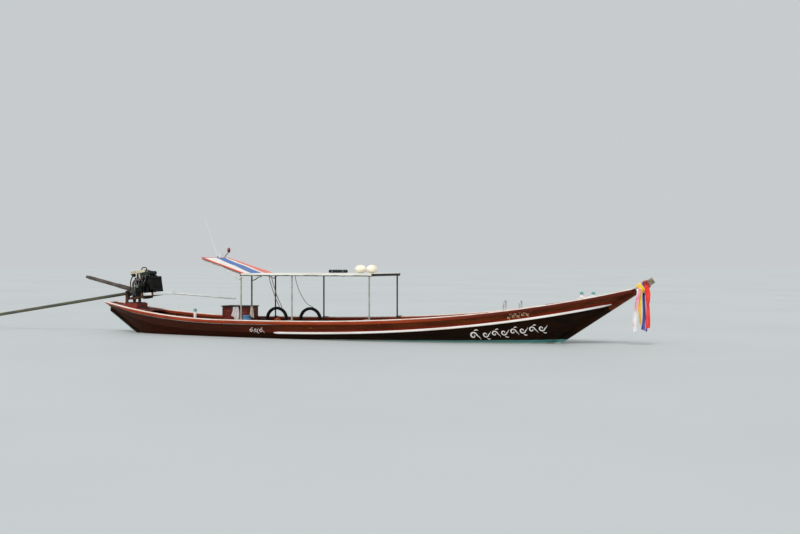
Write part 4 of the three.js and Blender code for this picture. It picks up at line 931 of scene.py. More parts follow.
@dataclass
class Inside:
    """Frames, risers, floorboards and thwarts."""

    rib_from: float = -5.9
    rib_pitch: float = 0.495
    rib_count: int = 23
    rib_half: float = 0.021
    rib_depth: float = 0.055
    floor_top: float = -0.225
    deck_drop: float = 0.062
    riser: tuple = (-3.89, 2.9, -0.002, 0.04)
    riser_thick: float = 0.037
    floor_ends: tuple = (-4.2, 3.65)
    thwarts: int = 6
    gap: float = 0.002

    def ribs(self) -> None:
        """Sawn frames that follow the planks' inner face, with flat floors at the bottom."""
        skin = Skin("ribs")
        for i in range(self.rib_count):
            x0 = self.rib_from + i * self.rib_pitch
            x = np.array([x0 - self.rib_half, x0 + self.rib_half])[:, None]
            reach = LINES.angle_at(x0, LINES.sheer(x0) - self.deck_drop)
            turn = np.linspace(-reach, reach, 33)[None]
            outer = LINES.section(x, turn, LINES.planking + 0.001)
            inner = LINES.section(x, turn, LINES.planking + self.rib_depth)
            inner[..., 2] = np.maximum(inner[..., 2], min(self.floor_top, float(LINES.keel(x0)) + 0.16))
            inner[..., 2] = np.maximum(inner[..., 2], outer[..., 2] + 0.004)
            skin.shell(outer, inner, tone=RANDOM.uniform(-1, 1))
        start, end, z0, z1 = self.riser
        x = np.linspace(start, end, 40)
        out, back = (LINES.width_at(x, z, LINES.planking) - self.rib_depth for z in (z0, z1))
        back = back - self.riser_thick
        for sign in (1, -1):
            skin.loft(band(x, sign, [(out, z0), (out + 0.001, z1), (back, z1), (back, z0)]), 0, 0.4)
        x = np.linspace(-5.96, 5.02, 60)
        spine = surface(x, 0, LINES.keel(x) + LINES.planking + 0.03)
        low = (x > self.floor_ends[0]) & (x < self.floor_ends[1])
        spine[low, 2] = np.minimum(spine[low, 2], self.floor_top - 0.032)
        skin.sweep(spine, rounded(0.09, 0.06, 0.006), up=UP)
        skin.build([INNER_TIMBER], ["ribs_and_risers"], bevel=0.003)

    def floor(self) -> None:
        """Loose boards that run fore and aft, each a little askew in tone."""
        skin = Skin("floor_boards")
        z0, z1 = self.floor_top + 0.0005, self.floor_top + 0.0243
        for row in range(-2, 3):
            x = np.linspace(*self.floor_ends, 50)
            room = LINES.width_at(x, np.full_like(x, z0), LINES.planking + self.rib_depth + 0.004) - 0.004
            y0 = np.clip(row * 0.13 - 0.062, -room, room)
            y1 = np.clip(row * 0.13 + 0.062, -room, room)
            keep = y1 - y0 > 0.02
            xs, a, b = x[keep], y0[keep], y1[keep]
            skin.loft(band(xs, 1, [(a, z0), (b, z0), (b, z1), (a, z1)]), 0, RANDOM.uniform(-1, 1))
        skin.build([BARE_TIMBER], ["floorboards"], bevel=0.003)

    def seats(self) -> None:
        """Thwarts of two or three boards, cut to the sides."""
        for i in range(self.thwarts):
            skin = Skin(f"thwart_boards_{i + 1}")
            lo, hi, mid = box(f"thwart_{i + 1}")
            width = hi.x - lo.x
            count = 3 if width > 0.3 else 2
            board = width / count
            for k in range(count):
                x = mid[0] - width / 2 + point(k * board + self.gap, (k + 1) * board - self.gap)
                y = LINES.width_at(x, np.full(2, lo.z), LINES.planking) - self.rib_depth - 0.006
                rows = band(x, 1, [(-y, lo.z), (y, lo.z), (y, hi.z), (-y, hi.z)])
                skin.loft(rows, 0, RANDOM.uniform(-1, 1))
            skin.build([BARE_TIMBER], [f"thwart_{i + 1}"], bevel=0.004)

    def build(self) -> None:
        """Makes the fittings inside the hull."""
        self.ribs()
        self.floor()
        self.seats()


@dataclass
class Decks:
    """Crowned end decks of narrow planks, the engine bed and the bitts."""

    drop: float = 0.036
    thick: float = 0.024
    camber: float = 0.12
    lip: float = 0.02
    bitts_at: tuple = (5.01, 5.25)

    def deck(self, name: str, start: float, end: float, node: str, planks: int) -> None:
        """Planks laid fore and aft over a camber that falls with the square of the way to the side."""
        skin = Skin(name)
        x = np.linspace(start, end, 26)[:, None]
        half = np.maximum(LINES.half(x) - LINES.planking - 0.003, 0.02)
        base = LINES.sheer(x) - self.drop
        for k in range(planks):
            t = -1 + 2 * (k + np.array([self.lip, 0.35, 0.65, 1 - self.lip])) / planks
            rise = self.camber * LINES.half(x) * (1 - t**2)
            top = surface(x, half * t, base + rise)
            low = top - [0, 0, self.thick]
            skin.shell(top, low, tone=RANDOM.uniform(-1, 1))
        skin.build([RED_PAINT], [node], bevel=0.002)

    def bitts(self) -> None:
        """Two turned posts with teal heads, one behind the other on a white bar that follows the deck."""
        lo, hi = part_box("bow_bitts")
        skin = Skin("mooring_bitts")
        x = np.linspace(lo.x, hi.x, 12)
        crown = LINES.sheer(x) - self.drop + self.camber * LINES.half(x)
        skin.sweep(surface(x, 0, crown + 0.019), rounded(0.088, 0.034, 0.006), up=UP)
        for at_x in self.bitts_at:
            at, h = point(at_x, 0, 0), hi.z
            base = float(np.interp(at_x, x, crown)) + 0.03
            skin.plate(rounded(0.088, 0.088, 0.008), point(at_x, 0, base + 0.012), 0.03, point(1, 0, 0.15), PORT)
            skin.turned([(base, 0.034), (h - 0.062, 0.034), (h - 0.056, 0.031)], at, UP)
            skin.lathe([(h - 0.056, 0.0), (h - 0.056, 0.037), (h - 0.012, 0.037), (h - 0.003, 0.03), (h, 0.0)], at,
                UP, slot=1)
        skin.build([WHITE_TRIM, TEAL_PAINT], ["bow_bitts"], bevel=0.002)
        lo, hi, mid = box("aft_bitt")
        at = mid * (1, 1, 0)
        skin = Skin("aft_bitt_post")
        skin.lathe([(lo.z, 0), (lo.z, 0.036), (hi.z - 0.12, 0.036), (hi.z - 0.115, 0.03), (hi.z - 0.07, 0.03)], at,
            UP)
        skin.lathe([(hi.z - 0.07, 0), (hi.z - 0.07, 0.037), (hi.z - 0.012, 0.037), (hi.z, 0.0)], at, UP, slot=1)
        skin.build([WHITE_TRIM, TEAL_PAINT], ["aft_bitt"], bevel=0.002)

    def build(self) -> None:
        """Makes the decks and what stands on them."""
        self.deck("fore_deck_planks", 4.302, 5.86, "foredeck", 7)
        self.deck("stern_deck_planks", -6.352, -5.152, "stern_deck", 6)
        refine("engine_bed", "engine_bed_timbers", RED_PAINT, HULL_BODY, 0.005)
        self.bitts()


@dataclass
class Canopy:
    """Tube frame, canvas roof, striped tail awning and what is tied to them."""

    rail_y: float = 0.82
    rail_z: float = 1.385
    canvas: float = 0.0035
    tube: float = 0.018
    post: float = 0.017
    foot_z: float = 0.0405
    aft_x: float = -2.4
    fore_x: float = 0.705
    bows: tuple = (-2.4, -1.78, -1.15, -0.55, 0.05, 0.705)
    root_y: float = 0.665
    tip_y: float = 0.565
    tip_x: float = -3.53
    tip_z: float = 1.74
    batten_y: float = 0.78
    strut_z: float = 1.29
    strut_reach: float = 0.6
    bow_at: float = 0.46
    awning_edge: float = 0.035
    root_seams: tuple = (-1, -0.84, -0.46, 0.26, 0.46, 1)
    tip_seams: tuple = (-1, -0.84, 0.1, 0.68, 0.92, 1)
    seam_tones: tuple = (-1, -0.93, -0.72, 0.02, 0.16, 1)

    def posts(self) -> None:
        """Upright tubes on bracket plates, with bolts: light to starboard where they stand lit, darkened to port as
        painted shade.
        """
        r = self.post
        for place in ("aft", "mid", "fore"):
            for side, sign in SIDES:
                node = f"canopy_post_{place}_{side}"
                lo, hi, mid = box(node)
                x, y = mid[0], sign * self.rail_y
                plate_z = lo.z + self.foot_z
                skin = Skin(f"post_{place}_{side}")
                skin.lathe([(lo.z, 0), (lo.z + 0.002, r), (hi.z, r), (hi.z, 0)], (x, y, 0), UP, 20)
                collar = [(0, r + 0.0002), (0, 0.024), (0.016, 0.024), (0.022, r + 0.0002)]
                skin.lathe(collar, (x, y, plate_z), UP, 20, closed=True)
                rim = lo.y if sign < 0 else hi.y
                y0, y1 = sorted((y, rim))
                skin.block((x - 0.04, y0, plate_z), (x + 0.04, y1, plate_z + 0.007))
                for dx in (-0.026, 0.026):
                    bolt = [(0.006, 0), (0.006, 0.009), (0.013, 0.009), (0.015, 0)]
                    skin.lathe(bolt, (x + dx, rim - sign * 0.03, plate_z), UP, 6)
                # the far posts to port take the darker tube as painted shade
                skin.build([LIGHT_TUBE if sign < 0 else SHADED_DARK_TUBE], [node], sharp=40)
        lo, hi, mid = box("helm_post")
        at = mid * (1, 1, 0)
        skin = Skin("helm_tube").turned([(lo.z, 0.04), (lo.z + 0.008, 0.04), (lo.z + 0.01, r), (hi.z, r)], at, UP, 20)
        hook = np.array([(0.012, 0, 1.265), (0.06, 0, 1.27), (0.12, 0, 1.3), (0.17, 0, 1.335), (0.25, 0, 1.345)])
        skin.pipe(at + hook, 24, 0.01, 12)
        # the helm tube under the roof takes the dark tube with its painted shade
        skin.build([SHADED_DARK_TUBE], ["helm_post"], sharp=40)

    def tail(self, share: float, sign: float) -> Array:
        """A point on a tail rail at a share of its length."""
        root = point(self.aft_x, sign * self.root_y, self.rail_z)
        return root + (point(self.tip_x, sign * self.tip_y, self.tip_z) - root) * share

    def frame_tubes(self) -> None:
        """Two long rails, six bows, the tail's rails and bows, and the white struts, with clips where tubes meet."""
        skin = Skin("canopy_tubes")
        z, r = self.rail_z, self.tube
        for sign in (1, -1):
            y = sign * self.rail_y
            skin.tube([(self.aft_x - 0.02, y, z), (-1.0, y, z), (self.fore_x, y, z)], r, 14, slot=2)
            skin.tube([self.tail(0, sign), self.tail(0.5, sign), self.tail(1, sign)], r, 14)
            foot = point(self.aft_x - 0.031, sign * (self.rail_y + 0.006), self.strut_z)
            top = self.tail(self.strut_reach, sign)
            skin.tube([foot, (foot + top) / 2, top], 0.016, 12, slot=1)
            x = self.aft_x
            fork = [(x - 0.033, y, self.strut_z + 0.005), (x - 0.012, y * 1.02, self.strut_z + 0.03),
                (x + 0.03, y * 1.025, self.strut_z + 0.065), (x + 0.06, y * 1.02, z - 0.012)]
            skin.pipe(fork, 14, 0.013, 10, 1)
            for x in self.bows:
                skin.tube([(x - 0.021, y, z), (x, y, z), (x + 0.021, y, z)], r + 0.003, 14, slot=2)
        for x in self.bows:
            skin.tube([(x, -self.rail_y, z), (x, 0, z), (x, self.rail_y, z)], r * 0.98, 14, slot=2)
        for share in (self.bow_at, 1.0):
            near, far = self.tail(share, -1), self.tail(share, 1)
            skin.tube([near, (near + far) / 2, far], r, 14)
        # slot 2 darkens the long rails and bows under the roof as painted shade
        skin.build([LIGHT_TUBE, WHITE_STEEL, SHADED_DARK_TUBE], ["canopy_frame"], sharp=50)
        battens = Skin("roof_battens")
        for y in np.linspace(-self.batten_y, self.batten_y, 8):
            battens.block((self.aft_x + 0.02, y - 0.02, z + r + 0.0006),
                (self.fore_x + 0.02, y + 0.02, z + r + 0.0165))
        battens.build([BARE_TIMBER], bevel=0.002)

    def roof(self) -> None:
        """Canvas drawn over battens: it dips by a sine squared between them and its hem hangs over each rail.

        The top falls away at both sides to a hem that waves a little along the boat.
        """
        lo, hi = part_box("canopy_roof")
        x = between(lo.x, hi.x, 90)
        half = (hi.y - lo.y) / 2
        across = np.concatenate([np.full(5, -1.0), np.linspace(-1, 1, 65), np.full(5, 1.0)])[None]
        drop = np.concatenate([np.linspace(0.03, 0.006, 5), np.zeros(65), np.linspace(0.006, 0.03, 5)])[None]
        batten = self.batten_y
        dip = 0.0045 * sin(math.pi * (across * half + batten) * 7 / (2 * batten)) ** 2 * (np.abs(across) < 0.9)
        swell = 0.002 * sin(5.1 * x + 2) * sin(3.3 * across)
        wave = 0.004 * sin(11 * x) + 0.003 * sin(27 * x + 1)
        y = across * (half - 0.002) + np.sign(across) * (drop > 0) * 0.002
        z = hi.z - 0.0005 - dip - np.abs(swell) - drop - 0.006 * np.clip((np.abs(across) - 0.955) / 0.045, 0, 1) ** 2
        z = z - 0.6 * wave * np.clip(drop / 0.03, 0, 1)
        outer = surface(x, y, z)
        inner = outer - self.canvas * surface(0 * x, np.sign(across) * (drop > 0), drop == 0)
        skin = Skin("roof_sheet")
        skin.shell(outer, inner)
        for sign in (1, -1):
            edge = surface(x, sign * (half + 0.0005), hi.z - 0.034 - wave * 0.6)[:, 0]
            skin.sweep(edge, rounded(0.006, 0.016, 0.002), up=UP)
        made = skin.build([CANVAS], ["canopy_roof"], sharp=60)

    def awning(self) -> None:
        """Striped sheet on the tail's rails: it sags by a sine squared across and its two long edges are rolled."""
        run, climb = self.aft_x - self.tip_x, self.tip_z - self.rail_z
        slope, length = math.atan2(climb, run), math.hypot(climb, run)
        s, across = between(0.02, length + 0.02, 60), between(-1, 1, columns=61)
        half = (self.root_y + (self.tip_y - self.root_y) * s / length) + self.awning_edge
        sag = 0.012 * cos(math.pi * across / 2) ** 2 * np.abs(sin(math.pi * s / length * 2)) ** 0.8
        flutter = 0.003 * sin(9 * s) * sin(8 * across)
        lift = self.tube + 0.01 - sag * 0.6 + flutter

        def place(rise: Array) -> Array:
            """Turns slope distances into the boat's frame."""
            return surface(self.aft_x - s * math.cos(slope) + rise * math.sin(slope), across * half,
                self.rail_z + s * math.sin(slope) + rise * math.cos(slope))

        skin = Skin("awning_sheet")
        root, tip = np.array(self.root_seams), np.array(self.tip_seams)
        shares = np.clip(s[:, 0] / length, 0, 1)
        tone = np.array([np.interp(across[0], (1 - r) * root + r * tip, self.seam_tones) for r in shares])
        skin.shell(place(lift + 0.003), place(lift), tone=tone)
        top = place(lift + 0.001)
        for column, mark in ((0, -1.0), (-1, 1.0)):
            skin.tube(top[:, column], 0.009, 10, tone=mark)
        skin.tube(top[-1, ::4], 0.008, 10, tone=-1.0)
        made = skin.build([STRIPES], ["tail_awning"], sharp=60)
        lash = Skin("awning_lashings")
        for sign in (1, -1):
            for share in (0.08, 0.28, 0.5, 0.72, 0.93):
                at = self.tail(share, sign)
                axis = unit(self.tail(1, sign) - self.tail(0, sign))
                up = np.cross(axis, PORT)
                a = angles(18)[:, None]
                for k in (-1, 0, 1):
                    loop = at + axis * 0.007 * k + 0.0225 * (cos(a) * PORT + sin(a) * up)
                    lash.tube(loop, 0.0032, 6, closed=True)
        lash.build([ROPE])

    def loads(self) -> None:
        """Two ribbed floats joined by a line, a rolled mat with its spiral ends, the whip aerial and the lamp."""
        lo, hi, (mid, *_) = box("roof_floats")
        skin = Skin("float_pair")
        u, v = between(0, math.pi, 30), angles(48)[None]
        lobes = 1 - 0.016 * np.abs(sin(4 * v)) * sin(u)
        top = (hi.z - lo.z) / 2
        for dx in (-0.135, 0.135):
            rows = surface(mid + dx + 0.131 * sin(u) * cos(v) * lobes, 0.117 * sin(u) * sin(v) * lobes,
                lo.z + top - top * cos(u) * 0.997)
            skin.grid(rows, RING)
        skin.pipe([(mid - 0.1, 0, lo.z + 0.09), (mid, 0.004, lo.z + 0.07), (mid + 0.1, 0, lo.z + 0.09)], 12, 0.03, 12,
            slot=1)
        skin.build([FOAM, ROPE], ["roof_floats"], sharp=70)
        lo, hi, (*_, z0) = box("rolled_mat")
        a = np.linspace(0, 4.4 * TAU, 150)
        r = 0.008 + 0.031 * a / a[-1]
        line = surface(0, r * sin(a), r * cos(a))
        x = between(lo.x, hi.x, 12)
        outer = surface(x + 0.006 * sin(5 * a), line[:, 1], z0 + line[:, 2] - 0.001)
        inner = outer - unit(line) * 0.0045
        skin = Skin("mat_roll").shell(outer, inner)
        for share in (0.2, 0.8):
            t = angles(24)
            loop = surface(lo.x + share * (hi.x - lo.x), 0.0405 * sin(t), z0 + 0.0405 * cos(t))
            skin.tube(loop, 0.0025, 6, closed=True, slot=1)
        made = skin.build([MATTING, ROPE], ["rolled_mat"], sharp=60)
        lo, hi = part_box("whip_aerial")
        foot, top = point(hi.x - 0.007, 0.19, lo.z), point(lo.x + 0.004, 0.19, hi.z)
        path = foot + (top - foot) * between(0, 1, 30)
        skin = Skin("aerial_rod")
        skin.tube(path, np.linspace(0.006, 0.0032, 30), 10)
        skin.tube(path[:4], 0.0105, 12, slot=1)
        skin.build([WHITE_PLASTIC, DARK_STEEL], ["whip_aerial"])
        lo, hi, (_, y, _) = box("stern_lamp")
        arm = point(lo.x + 0.012, y, lo.z)
        lens = point(hi.x - 0.04, y, hi.z - 0.06)
        skin = Skin("lamp_on_stalk")
        stalk = [arm, arm + point(0, 0, 0.06), arm + point(0.03, 0, 0.11), lens - point(0.008, 0, 0.056)]
        skin.pipe(stalk, 24, 0.008, 12, 1)
        skin.lathe([(-0.058, 0.0), (-0.056, 0.02), (-0.046, 0.023), (-0.04, 0.03), (-0.03, 0.036), (0.0, 0.038),
            (0.032, 0.031), (0.05, 0.017), (0.057, 0.0)], lens, UP, 28)
        skin.lathe([(-0.06, 0.0), (-0.06, 0.026), (-0.048, 0.03), (-0.04, 0.03), (-0.038, 0.0)], lens, UP, 24, slot=1)
        skin.build([RED_LENS, DARK_STEEL], ["stern_lamp"], sharp=50)
        bracket = Skin("aerial_bracket")
        x, top = self.tip_x, self.tip_z + 0.02
        bracket.pipe([(x - 0.005, 0.17, top + 0.002), (x - 0.012, 0.2, top + 0.07), (x - 0.02, 0.26, top + 0.14),
            (x - 0.015, 0.34, top + 0.11), (x - 0.004, 0.39, top + 0.001)], 30, 0.0055, 10)
        bracket.build([WHITE_PLASTIC])

    def build(self) -> None:
        """Makes the canopy."""
        self.posts()
        self.frame_tubes()
        self.roof()
        self.awning()
        self.loads()


@dataclass
class Gear:
    """Locker, tyres, ladder, water drum and loose things along the boat."""

    seat: float = 0.0706
    tyre_y: float = 0.64
    cut: float = 0.004
    ladder_x: tuple = (3.18, 3.53)
    ladder_tube: float = 0.017
    cloth: float = 0.0022

    def locker(self) -> None:
        """Box of framed panels with corner stiles and rails, and its lid on the lid's body."""
        lo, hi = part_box("locker")
        wall, stile = 0.022, 0.05
        skin = Skin("locker_frame")
        skin.block((lo.x, lo.y + wall, lo.z), (hi.x, hi.y - wall, lo.z + wall))
        panels = Skin("locker_panels")
        for y0, y1 in ((lo.y, lo.y + wall), (hi.y - wall, hi.y)):
            panels.block((lo.x + 0.01, y0 + 0.006, lo.z + 0.01), (hi.x - 0.01, y1 - 0.006, hi.z - 0.01))
            for x in (lo.x, (lo.x + hi.x - stile) / 2, hi.x - stile):
                skin.block((x, y0, lo.z), (x + stile, y1, hi.z))
            for z in (lo.z, hi.z - stile):
                skin.block((lo.x + stile, y0 + 0.001, z), (hi.x - stile, y1 - 0.001, z + stile))
        for x0, x1 in ((lo.x, lo.x + wall), (hi.x - wall, hi.x)):
            panels.block((x0 + 0.006, lo.y + wall, lo.z + 0.01), (x1 - 0.006, hi.y - wall, hi.z - 0.01))
            for z in (lo.z, hi.z - stile):
                skin.block((x0 + 0.001, lo.y + wall, z), (x1 - 0.001, hi.y - wall, z + stile))
        skin.build([DARK_RED_BOARD], ["locker"], bevel=0.0025)
        panels.build([RED_PANEL], bevel=0.001)
        lo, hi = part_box("locker_lid")
        skin = Skin("locker_lid_boards")
        for k in range(3):
            y0, y1 = lo.y + (hi.y - lo.y) * k / 3, lo.y + (hi.y - lo.y) * (k + 1) / 3
            skin.block((lo.x, y0 + 0.0012, lo.z + 0.0005), (hi.x, y1 - 0.0012, hi.z), tone=RANDOM.uniform(-1, 1))
        for x in (lo.x + 0.1, hi.x - 0.16):
            skin.block((x, lo.y + 0.03, hi.z - 0.001), (x + 0.06, hi.y - 0.03, hi.z + 0.0005))
        skin.build([DARK_LID], ["locker_lid"], LID_BODY, 0.003)
        hinge = Skin("lid_hinges")
        for x in (lo.x + 0.12, hi.x - 0.2):
            hinge.turned([(0, 0.0055), (0.08, 0.0055)], point(x, hi.y + 0.001, lo.z), FORE, 14)
        hinge.build([DARK_STEEL])

    def tyres(self) -> None:
        """Motorcycle tyres: a hollow carcass round an open bead, with two grooves and cross cuts in the tread.

        The section runs from one bead up the outside wall, over the crown and down, then back along the inside.
        """
        outer = np.array([(-0.026, 0.218), (-0.036, 0.224), (-0.041, 0.238), (-0.0415, 0.252), (-0.036, 0.268),
            (-0.029, 0.276), (-0.02, 0.2815), (-0.012, 0.284), (-0.01, 0.279), (-0.008, 0.2845), (0.0, 0.285),
            (0.008, 0.2845), (0.01, 0.279), (0.012, 0.284), (0.02, 0.2815), (0.029, 0.276), (0.036, 0.268),
            (0.0415, 0.252), (0.041, 0.238), (0.036, 0.224), (0.026, 0.218)])
        inner = np.array([(0.022, 0.222), (0.033, 0.24), (0.03, 0.262), (0.015, 0.272), (0.0, 0.275), (-0.015, 0.272),
            (-0.03, 0.262), (-0.033, 0.24), (-0.022, 0.222)])
        section = np.vstack([outer, inner])
        a = angles(120)
        tread = (section[:, 1] > 0.2755) & (np.arange(len(section)) < len(outer))
        cut = self.cut * (np.arange(120) % 4 == 0)[:, None] * tread
        r = section[:, 1] - cut
        for name in ("tyre_aft", "tyre_fore"):
            _, _, (x0, _, z0) = box(name)
            rows = surface(x0 + r * cos(a)[:, None], self.tyre_y + section[:, 0], z0 + r * sin(a)[:, None])
            Skin(f"{name}_casing").grid(rows, TORUS).build([RUBBER], [name], sharp=50)

    def ladder(self) -> None:
        """Bright stiles that hook over the far rail, with treads between them."""
        lo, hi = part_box("boarding_ladder")
        skin = Skin("ladder_tubes")
        r = self.ladder_tube
        x0, x1 = self.ladder_x
        in_y, out_y, top = lo.y + r, hi.y - r, hi.z - r
        for x in (x0, x1):
            bend = smooth_path([(x, in_y, top - 0.19), (x, in_y, top - 0.06), (x, in_y + 0.02, top - 0.012),
                (x, (in_y + out_y) / 2, top), (x, out_y - 0.02, top - 0.012), (x, out_y, top - 0.06),
                (x, out_y, top - 0.3), (x, out_y, lo.z + 0.02)], 60)
            skin.tube(bend, r, 16)
        for k in range(3):
            z = lo.z + 0.06 + 0.22 * k
            skin.tube([(x, out_y, z) for x in (x0, (x0 + x1) / 2, x1)], r * 0.95, 14)
            skin.tube([(x, out_y, z + 0.008) for x in (x0 + 0.01, (x0 + x1) / 2, x1 - 0.01)], 0.006, 8)
        skin.build([WHITE_STEEL], ["boarding_ladder"], sharp=50)

    def drum(self) -> None:
        """Blue water drum with rolled ribs and a screwed lid."""
        lo, hi, (x, y, _) = box("water_drum")
        h, r = hi.z - lo.z, (hi.x - lo.x) / 2 - 0.002
        body = [(0, 0), (0, r - 0.01), (0.008, r - 0.002), (0.03, r - 0.002)]
        for z in np.linspace(0.06, h - 0.1, 5):
            body += [(z - 0.008, r - 0.002), (z, r + 0.002), (z + 0.008, r - 0.002)]
        body += [(h - 0.055, r - 0.003), (h - 0.045, r - 0.012), (h - 0.035, r - 0.012), (h - 0.035, r - 0.002),
            (h - 0.012, r - 0.002), (h - 0.004, r - 0.012), (h - 0.008, r - 0.03), (h - 0.008, 0)]
        Skin("drum_shell").lathe(body, (x, y, lo.z), UP, 40).build([BLUE_PLASTIC], ["water_drum"], sharp=35)

    def bundle(self, name: str, foot: Array, size: Array, finish: Finish, seed: int) -> None:
        """A soft bag or vest: a ball whose radius is folded by a few seeded sine waves, flattened underneath.

        Args:
            name: Name of the piece.
            foot: Middle of its foot.
            size: Half sizes.
            finish: Its cloth.
            seed: Seed of its folds.
        """
        rng = np.random.default_rng(seed)
        u, v = between(0, math.pi, 40), angles(64)[None]
        d = surface(sin(u) * cos(v), sin(u) * sin(v), -cos(u))
        folds = sum(sin(d @ rng.normal(0, 2.2 + 0.8 * k, 3) + rng.uniform(0, TAU)) / (2 + k) for k in range(4))
        rows = d * (1 + 0.1 * folds - 0.07 * np.abs(sin(2.3 * folds)))[..., None] * size
        rows[..., 2] = np.maximum(rows[..., 2], -0.55 * size[2]) + 0.55 * size[2]
        made = Skin(name).grid(rows + foot, RING).build([finish], sharp=75)

    def hanging_cloth(self) -> None:
        """A white cloth pinned under the locker lid's edge and a pale one tied round the helm post.

        The first is a strip whose depth is a wave that opens downward; the second is a tube whose radius is
        drawn in at its tie and waves round the post below it.
        """
        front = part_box("locker")[0].y
        t, w = between(0, 1, 40), between(-1, 1, columns=44)
        depth = 0.006 + (0.004 + 0.02 * t) * (1 + sin(9 * w + 1.2 * t + 0.6 * sin(3 * w)))
        x = -3.05 + 0.11 * w * (0.65 + 0.35 * t) + 0.01 * sin(4 * t)
        z = 0.641 - (0.25 + 0.05 * sin(2.4 * w + 0.5)) * t
        outer = surface(x, front - 0.004 - depth, z)
        made = Skin("white_cloth").shell(outer, outer + self.cloth * PORT).build([cloth("white")], sharp=80)
        a = angles(72)[None]
        radius = 0.0185 + 0.006 * np.abs(t - 0.12) ** 0.5 + (0.002 + 0.016 * t) * (1 + sin(6 * a + 2 * t))
        ring_at = surface(radius * cos(a), radius * sin(a), 0.685 - (0.27 + 0.02 * sin(a)) * t)
        inner = ring_at * (1 - point(1, 1, 0) * self.cloth / radius[..., None])
        rows = np.concatenate([ring_at, inner[::-1]], 0) + box("helm_post")[2] * (1, 1, 0)
        made = Skin("cloth_on_post").grid(rows, TORUS).build([CLOTH_PALE], sharp=80)

    def rope(self, name: str, points: Sequence[Sequence[float]], radius: float, finish: Finish) -> None:
        """A free rope or strap: a tube along a smooth path through the points."""
        path = smooth_path(points, 36)
        made = Skin(name).tube(path, radius, 10).build([finish])

    def loose(self) -> None:
        """Cloths, bags and a vest seen over the rail, and a rope and two straps from roof battens to the tyres."""
        self.hanging_cloth()
        self.bundle("dark_bag", point(-2.33, 0.06, self.seat), point(0.1, 0.09, 0.23), DARK_CLOTH, 5)
        self.bundle("dark_roll", point(-1.41, 0.3, self.seat), point(0.09, 0.08, 0.21), DARK_CLOTH, 6)
        self.bundle("orange_vest", point(-2.26, 0.64, 0.156), point(0.1, 0.045, 0.15), cloth("orange"), 7)
        x = np.array([-5.46, -5.4, -5.33, -5.27, -5.21, -5.2, -5.26, -5.34, -5.4])
        y = np.array([-0.11, -0.02, 0.02, -0.04, -0.15, -0.26, -0.33, -0.31, -0.24])
        half = LINES.half(x)
        z = LINES.sheer(x) - 0.036 + 0.12 * half * (1 - (y / half) ** 2) + 0.0125
        self.rope("deck_rope", [(-5.531, -0.13, 0.61), (-5.5, -0.125, 0.6), *surface(x, y, z)], 0.011, DARK_CLOTH)
        self.rope("roof_rope", [(-1.53, 0.111, 1.4038), (-1.545, 0.16, 1.28), (-1.53, 0.33, 1.0), (-1.46, 0.53, 0.74),
            (-1.33, 0.635, 0.632)], 0.006, DARK_CLOTH)
        for name, x in (("roof_strap_a", -2.21), ("roof_strap_b", -2.15)):
            self.rope(name, [(x, 0.111, 1.4038), (x + 0.005, 0.2, 1.2), (x + 0.015, 0.38, 0.9),
                (x + 0.02, 0.58, 0.67), (x, 0.64, 0.622)], 0.009, CLOTH_PALE)

    def build(self) -> None:
        """Makes the gear."""
        self.locker()
        self.tyres()
        self.ladder()
        self.drum()
        self.loose()


